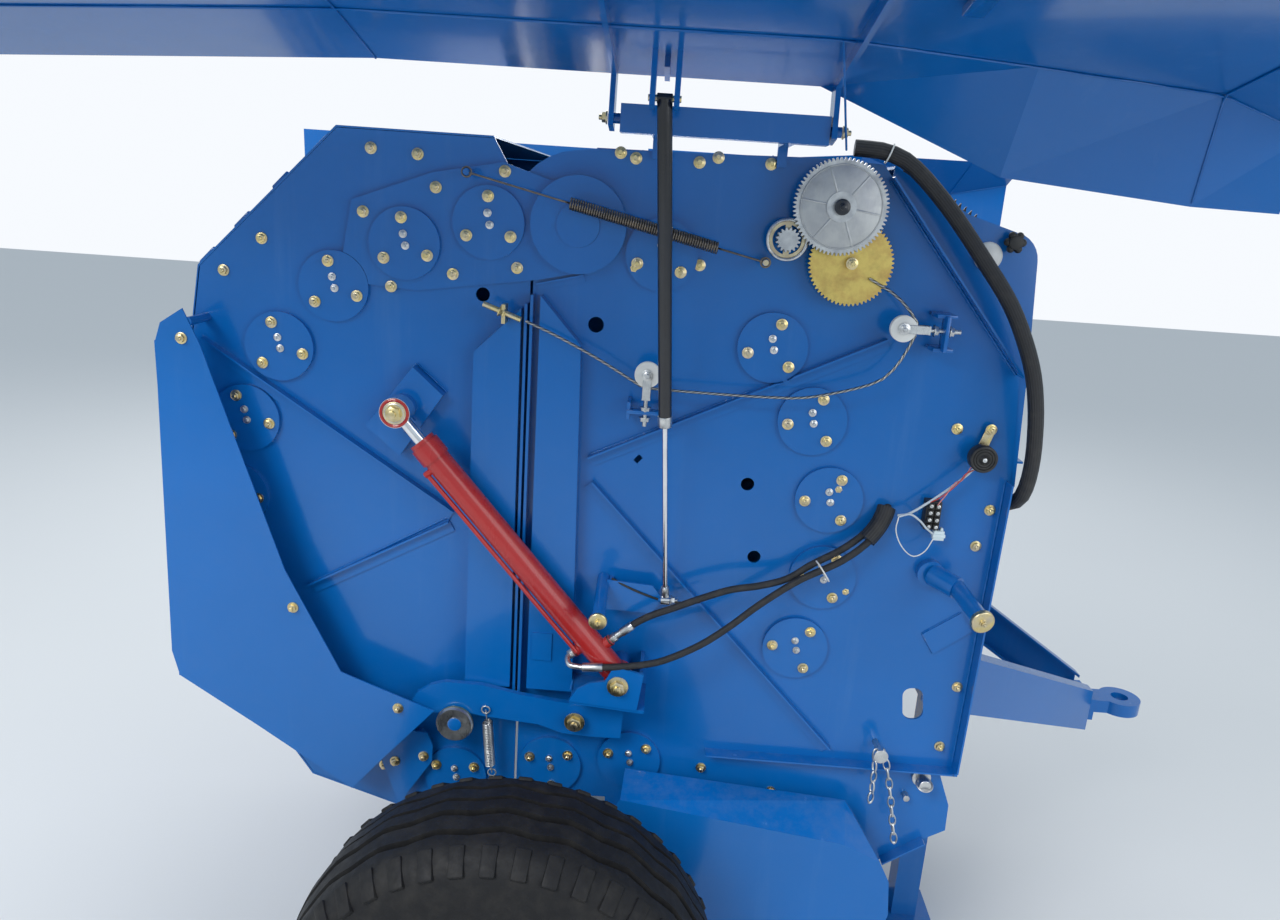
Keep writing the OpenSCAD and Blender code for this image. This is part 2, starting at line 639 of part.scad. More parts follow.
module tailgate_pivot_plates() color(blue) at_hitch() both_sides() difference() {
    union() {
        plate([[-430, 530], [-400, 700], [-230, 765], [-80, 795], [20, 765], [82, 779], [82, 579],
               [0, 560], [-262, 520]], pivot_plate_off, pivot_plate_t);
        plate([[-430, 530], [-400, 700], [-230, 765], [-80, 795], [-77, 700], [-76, 660], [-64, 600],
               [-36, 553], [-262, 520]], 0, pivot_plate_off);
        translate([pivot[0], -side_y - pivot_plate_off, pivot[1]]) rotate([90, 0, 0])
            cylinder(h = 28.5, d = hub_d);
        pin(spring_back, pivot_plate_off, spring_off + 10, 12);
    }
    pin(on_ring(tailgate_roller_a[2]), -5, 50, bearing_d + 2);
    translate([pivot[0], -side_y + 5, pivot[1]]) rotate([90, 0, 0])
        cylinder(h = 60, d = pivot_stub_d + 2 * run_gap);
}

cylinder_eye = [-283, 269];
cylinder_base = [228, -317];
catch_at = [-152, -480];
module tailgate_pins() color(zinc) at_hitch() both_sides() {
    // Pin that the latch hooks, with its dished washer
    pin(catch_at, 0, latch_off + latch_t + 14, 34);
    pin(catch_at, latch_off + latch_t + 6, latch_off + latch_t + 12, 88);
    // Adjuster of the cable, on a tab of the hat channel
    translate([-66, -side_y - cable_off - 8, out([0, 470])[1]]) cube([8, cable_off + 8 - channel_d, 40]);
    bar([-106, cable_off, 508], [-26, cable_off, 480], 12);
}

guard_outline = [[-784, 425], [-735, 458], [-701, 382], [-649, 223], [-537, -115], [-414, -358],
    [-248, -421], [-197, -440], [-330, -590], [-393, -664], [-615, -514], [-794, -398], [-809, -336],
    [-797, 386]];
module tailgate_guards() color(blue) at_hitch() both_sides() {
    plate(guard_outline, guard_off - 3, 3);
    strip([-794, -398], [-797, 386], fold_t, guard_off - 20, 20);
    for (p = [[-728, 430], [-700, -300], [-300, -480]]) pin(p, 0, guard_off - 3, 20);
}

latch_at = [131, -447];
latch_off = 46;
latch_t = 14;
latch_pin_d = 34;
module latch() difference() {
    plate([[-257, -434], [-245, -413], [-215, -391], [-180, -379], [-93, -380], [0, -397], [82, -407],
           [243, -419], [240, -491], [168, -493], [101, -489], [43, -471], [-24, -466], [-91, -460],
           [-117, -456], [-132, -455], [-176, -455], [-200, -463]], latch_off, latch_t);
    pin(latch_at, -60, 140, latch_pin_d + 2 * run_gap);
}
module latch_right() color(blue) at_hitch() latch();
module latch_left() color(blue) at_hitch() mirror([0, 1, 0]) latch();

stroke_v = out(cylinder_eye) - out(cylinder_base);
closed_l = norm(stroke_v);
barrel_l = closed_l - rod_show - cylinder_eye_d / 2;
module along_cylinder() translate([out(cylinder_base)[0], -side_y - cylinder_off, out(cylinder_base)[1]])
    rotate([0, 90 - atan2(stroke_v[1], stroke_v[0]), 0]) children();
// Distance of each oil port from the base pin, and its side
ports = [[110, -1], [84, 1]];
module barrel() along_cylinder() {
    difference() {
        union() {
            rotate([90, 0, 0]) translate([0, 0, -cylinder_eye_w / 2])
                cylinder(h = cylinder_eye_w, d = cylinder_eye_d);
            translate([0, 0, 27]) cylinder(h = barrel_l - 27, d = barrel_d);
            translate([0, 0, barrel_l - 50]) cylinder(h = 40, d = barrel_d + 8);
            for (p = ports) translate([0, 0, p[0]]) rotate([0, p[1] * 90, 0])
                cylinder(h = barrel_d / 2 + 14, d = 26);
            // Oil pipe to the far end
            translate([-barrel_d / 2 - 6, -12, ports[0][0]])
                cylinder(h = barrel_l - 60 - ports[0][0], d = 10);
            translate([0, -12, barrel_l - 65]) rotate([0, -90, 0]) cylinder(h = barrel_d / 2 + 11, d = 14);
        }
        rotate([90, 0, 0]) translate([0, 0, -100]) cylinder(h = 200, d = cylinder_pin_d + 2 * run_gap);
        translate([0, 0, 50]) cylinder(h = barrel_l, d = rod_d + 2 * run_gap);
    }
}
module barrel_right() color(red) at_hitch() barrel();
module barrel_left() color(red) at_hitch() mirror([0, 1, 0]) barrel();
module rod() along_cylinder() {
    translate([0, 0, 60]) cylinder(h = closed_l - 60, d = rod_d);
    translate([0, cylinder_eye_w / 2, closed_l]) rotate([90, 0, 0])
        cylinder(h = cylinder_eye_w, d = cylinder_eye_d);
    translate([0, -cylinder_eye_w / 2 + 0.1, closed_l]) rotate([90, 0, 0])
        cylinder(h = 14, d = cylinder_pin_d);
}
module rod_right() color(steel) at_hitch() rod();
module rod_left() color(steel) at_hitch() mirror([0, 1, 0]) rod();

// The covers' sheet as rows of [x, off, z], from the bottom edge over the fold to the top edge
cover_low = hinge_z + 20 - cover_h - grown;
cover_rows = [
    [[-1080, 200, cover_low], [-315, 240, cover_low], [300, 240, cover_low], [540, 240, cover_low],
     [900, 240, cover_low], [1257, 240, cover_low], [1440, 190, cover_low]],
    [[-1080, 200, 672], [-315, 240, 672], [300, 240, 672], [540, 240, 670],
     [891, 240, 743], [1257, 240, 827], [1440, 190, 868]],
    [[-1080, 192, 905], [-315, 232, 905], [300, 232, 905], [540, 232, 905],
     [905, 92, 935], [1275, 60, 935], [1443, 56, 930]]];
function cover_at(p, inward) = [p[0], -side_y - cover_off + 240 - p[1] + inward, p[2] + grown];
module cover_sheet() {
    n = len(cover_rows[0]);
    rows = len(cover_rows);
    flat = [for (s = [0, 1], r = [0:rows - 1], p = cover_rows[r]) cover_at(p, s * cover_t)];
    half = rows * n;
    skin = [for (s = [0, 1], r = [0:rows - 2], c = [0:n - 2], h = [0, 1])
        let (a = s * half + r * n + c, b = a + 1, d = a + n, e = d + 1)
        (h == 0) == (s == 0) ? (h == 0 ? [a, d, b] : [b, e, d]) : (h == 0 ? [a, b, d] : [b, d, e])];
    rim = concat([for (c = [0:n - 1]) c], [for (r = [1:rows - 1]) r * n + n - 1],
        [for (c = [n - 2:-1:0]) (rows - 1) * n + c], [for (r = [rows - 2:-1:1]) r * n]);
    wall = [for (i = [0:len(rim) - 1], h = [0, 1]) let (a = rim[i], b = rim[(i + 1) % len(rim)])
        h == 0 ? [a, b, a + half] : [b, b + half, a + half]];
    polyhedron(flat, concat(skin, wall));
}
strut_top_x = 248;
module cover_arm(x) difference() {
    union() {
        translate([x, -side_y - cover_off + cover_t, hinge_z - 30])
            cube([10, cover_off - hinge_off - cover_t + 20, 50]);
        translate([x, -side_y - cover_off + cover_t, hinge_z - 500]) cube([10, 24, 500]);
    }
    translate([x - 5, -hinge_y, hinge_z]) rotate([0, 90, 0]) cylinder(h = 20, d = 20 + 2 * run_gap);
}
module cover() {
    cover_sheet();
    for (x = [hinge_x0 - 22, hinge_x1 + 2]) cover_arm(x);
    // Rib down to the gas strut's upper pin, and the two prongs that hold it
    translate([strut_top_x - 5, -side_y - cover_off + cover_t, hinge_z - 90]) cube([10, 24, 85]);
    for (x = [strut_top_x - 27, strut_top_x + 17])
        translate([x, -side_y - cover_off + cover_t, strut_closed[1] - 18])
            cube([10, cover_off - 240 + 100, 36]);
}
module cover_right() color(blue) at_hitch() translate([0, -hinge_y, hinge_z]) rotate([-cover_lift, 0, 0])
    translate([0, hinge_y, -hinge_z]) cover();
module cover_left() color(blue) at_hitch() mirror([0, 1, 0]) cover();

// The gas strut's lower pin, and its upper eye with the cover open and closed
strut_low = concat(out([321, -139])[0], [-side_y - 40, out([321, -139])[1]]);
strut_closed = [-hinge_y - 13, hinge_z - 104];
strut_open = lifted(strut_closed);
strut_tube_l = 640;
strut_rod_l = 700;
module along(p, v, h, d) translate(p) rotate([0, acos(v[2]), atan2(v[1], v[0])]) cylinder(h = h, d = d);
// The rod stands on the frame, and the tube rides up and down on it
module strut_tube(top) {
    up = [strut_top_x, top[0], top[1]];
    v = unit(up - strut_low);
    near = up - v * strut_tube_l;
    difference() {
        along(near, v, strut_tube_l, strut_tube_d);
        along(near - v, v, strut_tube_l - 30, strut_rod_d + 2 * run_gap);
    }
    translate([up[0] - 14, up[1], up[2]]) rotate([0, 90, 0]) cylinder(h = 28, d = 18);
}
module strut_rod(top) {
    up = [strut_top_x, top[0], top[1]];
    v = unit(up - strut_low);
    difference() {
        union() {
            along(strut_low, v, strut_rod_l, strut_rod_d);
            translate([strut_low[0] - 10, strut_low[1], strut_low[2]]) rotate([0, 90, 0])
                cylinder(h = 20, d = 26);
        }
        translate([strut_low[0] - 20, strut_low[1], strut_low[2]]) rotate([0, 90, 0])
            cylinder(h = 40, d = 12 + 2 * run_gap);
    }
}
module strut_tube_right() color(black) at_hitch() strut_tube(strut_open);
module strut_tube_left() color(black) at_hitch() mirror([0, 1, 0]) strut_tube(strut_closed);
module strut_rod_right() color(steel) at_hitch() strut_rod(strut_open);
module strut_rod_left() color(steel) at_hitch() mirror([0, 1, 0]) strut_rod(strut_closed);

reel_at = [640, -870];
reel_y = side_y - plate_t - reel_gap;
// Outline of a side shield, which leans inwards above its crease
shield_outline = [[251, -602], [779, -674], [865, -712], [893, -765], [903, -856], [880, -960],
    [760, -1050], [560, -1060], [330, -900], [225, -720], [228, -640]];
module pickup_frame() color(blue) at_hitch() {
    across(out(swing_at), 2 * (side_y + shield_off) - 2, swing_tube_d);
    both_sides() {
        plate(shield_outline, shield_off - 3, 3);
        strip([336, -902], [556, -1055], 3, shield_off - 18, 16.5);
        strip([566, -1056], [754, -1046], 3, shield_off - 18, 16.5);
        hull() {
            plate([[251, -602], [779, -674], [865, -712]], shield_off - 3, 3);
            plate([[256, -583], [790, -622], [819, -661]], 40, 3);
        }
        plate([[235, -765], [295, -690], [380, -740], [700, -800], [740, -900], [640, -960], [560, -940]],
            -plate_t - reel_gap + 2, 6);
        pin(reel_at + [60, -60], -plate_t - reel_gap + 8, shield_off - 3, 40);
    }
}
band_n = floor((2 * reel_y - 60) / tine_step);
band_profile = concat([[265, -700], reel_at + [0, band_r]],
    arc(reel_at, band_r, 90, -90, 16), [reel_at + [-130, -band_r], reel_at + [-130, 4 - band_r]],
    arc(reel_at, band_r - 4, -90, 90, 16), [[265, -704.7]]);
module pickup_bands() color(blue) at_hitch() for (i = [0:band_n])
    translate([0, (i - band_n / 2) * tine_step + 22, 0]) rotate([90, 0, 0]) linear_extrude(44)
        polygon(outs(band_profile));
module pickup_reel() color(steel) at_hitch() translate([out(reel_at)[0], 0, out(reel_at)[1]]) {
    across([0, 0], 2 * reel_y, 60);
    for (a = [0:90:270]) {
        across(on_circle(125, a), 2 * reel_y - 40, 34);
        for (y = [-reel_y + 20, -6, reel_y - 32]) translate([0, y + 12, 0]) rotate([90, 0, 0])
            linear_extrude(12) rotate(a) translate([0, -15]) square([125, 30]);
        for (i = [0:band_n - 1]) translate([0, (i + 0.5 - band_n / 2) * tine_step, 0])
            rotate([0, -a, 0]) translate([110, 0, 0]) rotate([0, 90, 0])
                cylinder(h = tine_r - 110, d = tine_d);
    }
}

// Half of the tyre's section as [radius, distance from its middle], with its grooves
groove = [14, 62];
groove_w = 12;
tyre_half = [[rim_r, tyre_w / 2 - 30], [rim_r + 90, tyre_w / 2], [tyre_r - 60, tyre_w / 2 - 6],
    [tyre_r - 14, tyre_w / 2 - 50], [tyre_r - 9, groove[1] + groove_w],
    [tyre_r - 9 - groove_d, groove[1] + groove_w],
    [tyre_r - 7 - groove_d, groove[1]], [tyre_r - 7, groove[1]], [tyre_r - 1, groove[0] + groove_w],
    [tyre_r - 1 - groove_d, groove[0] + groove_w], [tyre_r - groove_d, groove[0]], [tyre_r, groove[0]]];
tyre_bore = [[tyre_r - 34, 0], [tyre_r - 34, tyre_w / 2 - 66], [tyre_r - 80, tyre_w / 2 - 26],
    [rim_r + 90, tyre_w / 2 - 16], [rim_r + 12, tyre_w / 2 - 44], [rim_r, tyre_w / 2 - 44]];
module tyre() translate([axle_x, -wheel_y, axle_z]) rotate([90, 0, 0])
    rotate_extrude($fn = 96) polygon(concat(tyre_half,
        [for (i = [len(tyre_half) - 1:-1:0]) [tyre_half[i][0], -tyre_half[i][1]]],
        [for (i = [len(tyre_bore) - 1:-1:0]) [tyre_bore[i][0], -tyre_bore[i][1]]],
        [for (i = [1:len(tyre_bore) - 1]) tyre_bore[i]]));
module rim() translate([axle_x, -wheel_y, axle_z]) rotate([90, 0, 0]) difference() {
    union() {
        rotate_extrude($fn = 96) polygon([[rim_r - 8, -tyre_w / 2 + 24], [rim_r - 0.3, -tyre_w / 2 + 24],
            [rim_r - 0.3, tyre_w / 2 - 24], [rim_r - 8, tyre_w / 2 - 24]]);
        // Dished disc from the well to the hub
        rotate_extrude($fn = 96) polygon([[50, 20], [96, 20], [150, -18], [rim_r - 4, -18],
            [rim_r - 4, -8], [154, -8], [100, 30], [50, 30]]);
        translate([0, 0, -54]) cylinder(h = 134, d = 120);
        for (a = [0:60:300]) rotate(a) translate([78, 0, 20]) cylinder(h = 24, d = 22);
    }
    translate([0, 0, -100]) cylinder(h = 300, d = 60 + 2 * run_gap);
    for (a = [30:60:330]) rotate(a) translate([168, 0, -40]) cylinder(h = 60, d = 26);
}
module tyre_right() color(black) at_hitch() tyre();
module tyre_left() color(black) at_hitch() mirror([0, 1, 0]) tyre();
module rim_right() color(steel) at_hitch() rim();
module rim_left() color(steel) at_hitch() mirror([0, 1, 0]) rim();

front_side_plates();
front_bearings();
front_rollers();
frame_beams();
axle();
top_sheet();
net_box();
drawbar();
gearbox();
pins_and_chains();
stand_leg();
hinge_beams();
net_gears();
tension_spring();
trip_cable();
electrics();
hydraulic_hoses();
cylinder_hoses();
cable_pulleys();
tailgate_side_plates();
tailgate_skin();
tailgate_bearings();
tailgate_rollers();
tailgate_pivot_plates();
tailgate_pins();
tailgate_guards();
latch_right();
latch_left();
barrel_right();
barrel_left();
rod_right();
rod_left();
cover_right();
cover_left();
strut_tube_right();
strut_tube_left();
strut_rod_right();
strut_rod_left();
pickup_frame();
pickup_bands();
pickup_reel();
tyre_right();
tyre_left();
rim_right();
rim_left();
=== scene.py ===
import json
import math

import bmesh
import bpy
from mathutils import Matrix, Vector


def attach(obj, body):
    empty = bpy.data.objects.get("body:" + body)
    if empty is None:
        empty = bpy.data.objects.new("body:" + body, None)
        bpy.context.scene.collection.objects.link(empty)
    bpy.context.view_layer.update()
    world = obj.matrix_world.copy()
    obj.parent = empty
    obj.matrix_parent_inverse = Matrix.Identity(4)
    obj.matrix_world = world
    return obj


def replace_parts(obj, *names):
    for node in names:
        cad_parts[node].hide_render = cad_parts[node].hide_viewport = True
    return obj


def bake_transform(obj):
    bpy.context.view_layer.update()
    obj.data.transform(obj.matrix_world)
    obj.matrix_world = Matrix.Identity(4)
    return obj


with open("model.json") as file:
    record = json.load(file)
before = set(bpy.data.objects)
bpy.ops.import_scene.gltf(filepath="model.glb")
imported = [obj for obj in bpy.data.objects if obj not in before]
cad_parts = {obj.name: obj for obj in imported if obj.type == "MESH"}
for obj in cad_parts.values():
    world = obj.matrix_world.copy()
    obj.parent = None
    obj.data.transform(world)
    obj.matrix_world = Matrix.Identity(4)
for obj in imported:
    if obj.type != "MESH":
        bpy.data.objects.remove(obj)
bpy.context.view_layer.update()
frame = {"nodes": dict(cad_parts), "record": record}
nodes = frame["nodes"]
print("frame loaded:", len(nodes), "nodes")

# Side view places are in mm from the chamber's centre: forwards, outboard of the side plate, up
drawing = {"hitchX": 1761, "hitchZ": -671, "sideY": 660, "rollerRing": 680}
right, left = -1, 1
bothSides = ((right, "right"), (left, "left"))
wayUp = Vector((0, 0, 1))
forwards = Vector((1, 0, 0))


def place(x, off, z, side=right):
    return Vector(((x - drawing["hitchX"]) / 1000, side * (drawing["sideY"] + off) / 1000,
                   (z - drawing["hitchZ"]) / 1000))


def central(x, y, z):
    # As place, with y counted from the machine's middle
    return Vector((place(x, 0, z).x, y / 1000, place(x, 0, z).z))


def onRing(angle, radius=drawing["rollerRing"]):
    return radius * math.cos(math.radians(angle)), radius * math.sin(math.radians(angle))


# Tools for modelling
def deselect():
    bpy.ops.object.select_all(action="DESELECT")


def pick(*pieces):
    deselect()
    for piece in pieces:
        piece.select_set(True)
    bpy.context.view_layer.objects.active = pieces[0]


def added(name, data):
    made = bpy.data.objects.new(name, data)
    bpy.context.collection.objects.link(made)
    return made


def primitive(kind, **values):
    deselect()
    getattr(bpy.ops.mesh, "primitive_" + kind + "_add")(**values)
    return bpy.context.active_object


def shape(piece, work):
    # Runs work on the piece in edit mode
    pick(piece)
    bpy.ops.object.mode_set(mode="EDIT")
    bm = bmesh.from_edit_mesh(piece.data)
    work(bm)
    bmesh.update_edit_mesh(piece.data)
    bpy.ops.object.mode_set(mode="OBJECT")


def chooseFaces(bm, wanted):
    for part in (*bm.verts, *bm.edges, *bm.faces):
        part.select = False
    for face in bm.faces:
        if wanted(face):
            face.select = True
    bm.select_flush_mode()


def chooseTop(bm):
    high = max(v.co.z for v in bm.verts)
    chooseFaces(bm, lambda f: f.normal.z > 0.9 and f.calc_center_median().z > high - 1e-5)


def rounded(piece, width, segments=2):
    pick(piece)
    bevel = piece.modifiers.new("bevel", "BEVEL")
    bevel.width = width
    bevel.segments = segments
    bevel.limit_method = "ANGLE"
    bevel.angle_limit = math.radians(35)
    bpy.ops.object.modifier_apply(modifier=bevel.name)
    return piece


def applied(piece):
    pick(piece)
    bpy.ops.object.transform_apply(location=True, rotation=True, scale=True)
    return piece


def put(piece, matrix):
    piece.matrix_world = matrix
    return applied(piece)


def joined(pieces, name):
    pick(*pieces)
    if len(pieces) > 1:
        bpy.ops.object.join()
    piece = bpy.context.active_object
    piece.name = name
    return applied(piece)


def turnedOut(piece):
    def work(bm):
        chooseFaces(bm, lambda f: True)
        bpy.ops.mesh.normals_make_consistent(inside=False)
    shape(piece, work)
    return piece


def copyOf(piece, matrix):
    twin = piece.copy()
    twin.data = piece.data.copy()
    bpy.context.collection.objects.link(twin)
    twin.matrix_world = matrix
    return twin


def copies(piece, matrices):
    return [copyOf(piece, matrix) for matrix in matrices]


def drop(*pieces):
    for piece in pieces:
        bpy.data.objects.remove(piece, do_unlink=True)


def finish(piece, body, look, smooth=40):
    applied(piece)
    bpy.ops.object.shade_smooth_by_angle(angle=math.radians(smooth))
    piece.data.materials.clear()
    piece.data.materials.append(looks[look])
    if body:
        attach(piece, body)
    return piece


def assemble(pieces, name, body, look, smooth=40):
    return finish(joined(pieces, name), body, look, smooth)


def otherSide(piece, name, body, look, smooth=40):
    twin = copyOf(piece, Matrix.Diagonal((1, -1, 1, 1)))
    twin.name = name
    return finish(turnedOut(applied(twin)), body, look, smooth)


def onBothSides(pieces, name, body, look, smooth=40):
    made = assemble(pieces, name + "_right", body, look, smooth)
    otherSide(made, name + "_left", body, look, smooth)


def turnBy(angle, about):
    return Matrix.Rotation(math.radians(angle), 4, about)


def outward(point, side=right, turn=0.0):
    # A matrix whose local Z points away from the machine, local X forwards
    return Matrix.Translation(point) @ turnBy(-90 * side, "X") @ turnBy(turn, "Z")


def aimed(start, end):
    # A matrix whose local Z runs from start to end
    return Matrix.Translation(start) @ (end - start).to_track_quat("Z", "Y").to_matrix().to_4x4()


def lineLength(points):
    return sum((q - p).length for p, q in zip(points, points[1:]))


def evenly(points, count):
    step = lineLength(points) / (count - 1)
    even, walked, i = [points[0]], 0.0, 0
    for k in range(1, count - 1):
        goal = k * step
        while walked + (points[i + 1] - points[i]).length < goal:
            walked += (points[i + 1] - points[i]).length
            i += 1
        span = points[i + 1] - points[i]
        even.append(points[i] + span * ((goal - walked) / span.length))
    return even + [points[-1]]


def smoothLine(points, count):
    # A curve through the points, as evenly spaced places
    ends = [2 * points[0] - points[1]] + list(points) + [2 * points[-1] - points[-2]]
    fine = []
    for i in range(1, len(ends) - 2):
        a, b, c, d = ends[i - 1:i + 3]
        for k in range(24):
            t = k / 24
            fine.append(0.5 * ((2 * b) + (c - a) * t + (2 * a - 5 * b + 4 * c - d) * t * t
                               + (3 * b - a - 3 * c + d) * t ** 3))
    fine.append(points[-1])
    return evenly(fine, count)


def tube(name, points, radius, sides=12):
    # A round tube along the points, with a UV map in metres along and turns around
    mesh = bpy.data.meshes.new(name)
    piece = added(name, mesh)
    bm = bmesh.new()
    uv = bm.loops.layers.uv.new("UVMap")
    across = Vector((0.3, 0.9, 0.3))
    rings, along, walked = [], [], 0.0
    for i, point in enumerate(points):
        heading = (points[min(i + 1, len(points) - 1)] - points[max(i - 1, 0)]).normalized()
        across = (across - heading * across.dot(heading)).normalized()
        up = heading.cross(across)
        if i:
            walked += (point - points[i - 1]).length
        size = radius[i] if isinstance(radius, list) else radius
        turns = [k * math.tau / sides for k in range(sides)]
        rings.append([bm.verts.new(point + size * (math.cos(a) * across + math.sin(a) * up)) for a in turns])
        along.append(walked)
    for i in range(len(points) - 1):
        for k in range(sides):
            corners = ((i, k), (i, k + 1), (i + 1, k + 1), (i + 1, k))
            face = bm.faces.new([rings[j][n % sides] for j, n in corners])
            for loop, (j, n) in zip(face.loops, corners):
                loop[uv].uv = (along[j], n / sides)
    bm.faces.new(reversed(rings[0]))
    bm.faces.new(rings[-1])
    bmesh.ops.recalc_face_normals(bm, faces=bm.faces)
    bm.to_mesh(mesh)
    bm.free()
    return piece


def rod(start, end, radius, sides=16, edge=0.0):
    span = (end - start).length
    piece = primitive("cylinder", vertices=sides, radius=radius, depth=span)
    put(piece, aimed(start, end) @ Matrix.Translation((0, 0, span / 2)))
    return rounded(piece, edge) if edge else piece


def rodAt(start, end, radius, sides=16, edge=0.0, side=right):
    return rod(place(*start, side), place(*end, side), radius, sides, edge)


def disc(radius, tall, low=0.0, sides=40, chamfer=None):
    # A round or six-sided piece that stands on low; chamfer is the top's inset and rise
    piece = primitive("cylinder", vertices=sides, radius=radius, depth=tall, location=(0, 0, low + tall / 2))
    applied(piece)
    if chamfer:
        def work(bm):
            chooseTop(bm)
            bpy.ops.mesh.inset(thickness=chamfer[0])
            bpy.ops.transform.translate(value=(0, 0, chamfer[1]))
        shape(piece, work)
    return piece


def ringOf(radius, wire, around=40, sides=8, low=0.0):
    return primitive("torus", major_radius=radius, minor_radius=wire, major_segments=around,
                     minor_segments=sides, location=(0, 0, low))


def ball(radius, flat, around, up, centre=(0, 0, 0)):
    piece = primitive("uv_sphere", segments=around, ring_count=up, radius=radius, location=centre)
    piece.scale = (1, 1, flat)
    return applied(piece)


def block(centre, size, edge=0.0, segments=2, turn=Matrix.Identity(4)):
    # A cuboid of the size, turned about its centre, with rounded edges
    piece = primitive("cube", size=1)
    turnedOut(put(piece, Matrix.Translation(centre) @ turn @ Matrix.Diagonal((*size, 1))))
    return rounded(piece, edge, segments) if edge else piece


def bar(start, end, width, deep, edge=0.0, segments=2):
    # A square bar on the right side: width across in the side view, deep outboard
    start, end = place(*start), place(*end)
    heading = (end - start).normalized()
    out = Vector((0, right, 0))
    turn = Matrix((heading, heading.cross(out).normalized(), out)).transposed().to_4x4()
    return block((start + end) / 2, ((end - start).length, width, deep), edge, segments, turn)


def plateOf(points, off, thick, side=right, edge=0.0008):
    # A flat plate with the outline of the points, off outboard of the side plate
    mesh = bpy.data.meshes.new("plate")
    mesh.from_pydata([place(x, off, z, side) for x, z in points], [], [list(range(len(points)))])
    piece = added("plate", mesh)

    def work(bm):
        chooseFaces(bm, lambda f: True)
        bpy.ops.mesh.extrude_region_move(TRANSFORM_OT_translate={"value": (0, side * thick / 1000, 0)})
    shape(piece, work)
    turnedOut(piece)
    return rounded(piece, edge, 1) if edge else piece


def coil(start, end, radius, turns, perTurn=14):
    # Points of a wire wound about the line from start to end
    way = aimed(start, end).to_3x3()
    count = turns * perTurn
    line = []
    for i in range(int(count) + 1):
        a = i * math.tau / perTurn
        rise = (end - start).length * i / count
        line.append(start + way @ Vector((radius * math.cos(a), radius * math.sin(a), rise)))
    return line


# Tools for materials
def feed(tree, socket, value):
    # Links another node's output to the socket, or sets the socket's own value
    if hasattr(value, "is_linked"):
        tree.links.new(value, socket)
    else:
        socket.default_value = (*value, 1) if socket.type == "RGBA" else value


def node(tree, kind, **values):
    made = tree.nodes.new("ShaderNode" + kind)
    for name, value in values.items():
        feed(tree, made.inputs[name.replace("_", " ")], value)
    return made


def calc(tree, operation, *values):
    made = node(tree, "Math")
    made.operation = operation
    for socket, value in zip(made.inputs, values):
        feed(tree, socket, value)
    return made.outputs[0]


def mixed(tree, factor, a, b):
    made = node(tree, "Mix")
    made.data_type = "RGBA"
    for index, value in ((0, factor), (6, a), (7, b)):
        feed(tree, made.inputs[index], value)
    return made.outputs[2]


def noise(tree, vector, scale, detail=4.0, roughness=0.55):
    made = node(tree, "TexNoise", Vector=vector, Scale=scale, Detail=detail, Roughness=roughness)
    return made.outputs["Fac"]


def ranged(tree, value, low, high, toLow=0.0, toHigh=1.0):
    made = node(tree, "MapRange", Value=value, From_Min=low, From_Max=high, To_Min=toLow, To_Max=toHigh)
    return made.outputs["Result"]


def stretched(tree, vector, scale):
    return node(tree, "Mapping", Vector=vector, Scale=scale).outputs["Vector"]


def axis(tree, vector, name):
    return node(tree, "SeparateXYZ", Vector=vector).outputs[name]


# Skins: colour, roughness and height that paints and metals share
soil = {"shade": (0.0, 0.03, 0.09), "streak": (0.35, 0.55, 0.75), "dust": (0.30, 0.27, 0.22),
        "chip": (0.10, 0.11, 0.13), "grease": (0.05, 0.04, 0.03), "hollow": (0.28, 0.25, 0.20),
        "strand": (0.10, 0.09, 0.08)}


def startSkin(name, *more):
    tree = bpy.data.node_groups.new(name, "ShaderNodeTree")
    given = (("Vector", "Vector"), ("Color", "Color"), *more)
    made = (("Color", "Color"), ("Roughness", "Float"), ("Height", "Float"))
    for way, sockets in (("INPUT", given), ("OUTPUT", made)):
        for label, kind in sockets:
            tree.interface.new_socket(name=label, in_out=way, socket_type="NodeSocket" + kind)
    return tree, tree.nodes.new("NodeGroupInput").outputs


def endSkin(tree, color, rough, height):
    out = tree.nodes.new("NodeGroupOutput")
    for label, value in (("Color", color), ("Roughness", rough), ("Height", height)):
        feed(tree, out.inputs[label], value)
    return tree


def buildPaintSkin():
    tree, given = startSkin("paintSkin", ("Dust", "Float"), ("Gloss", "Float"))
    vector = given["Vector"]
    broad = noise(tree, vector, 1.7, 3)
    shade = mixed(tree, ranged(tree, broad, 0.3, 0.7, 0.0, 0.16), given["Color"], soil["shade"])
    streaks = noise(tree, stretched(tree, vector, (16, 16, 1.4)), 1.0, 5, 0.6)
    pale = mixed(tree, ranged(tree, streaks, 0.58, 0.85, 0.0, 0.05), shade, soil["streak"])
    facing = axis(tree, node(tree, "NewGeometry").outputs["Normal"], "Z")
    settled = ranged(tree, facing, 0.35, 1.0, 0.12, 1.0)  # dust lies on what faces up
    speck = ranged(tree, noise(tree, vector, 26, 8, 0.7), 0.42, 0.75)
    lying = calc(tree, "MULTIPLY", calc(tree, "MULTIPLY", settled, speck), given["Dust"])
    dusty = mixed(tree, lying, pale, soil["dust"])
    chips = ranged(tree, noise(tree, vector, 95, 3, 0.5), 0.80, 0.83)
    worn = mixed(tree, calc(tree, "MULTIPLY", chips, 0.5), dusty, soil["chip"])
    rough = calc(tree, "ADD", given["Gloss"], calc(tree, "MULTIPLY", lying, 0.55))
    rough = calc(tree, "ADD", rough, ranged(tree, streaks, 0.3, 0.8, 0.0, 0.12))
    peel = calc(tree, "MULTIPLY", noise(tree, vector, 240, 2), 0.5)
    return endSkin(tree, worn, rough, calc(tree, "ADD", peel, noise(tree, vector, 9, 2)))


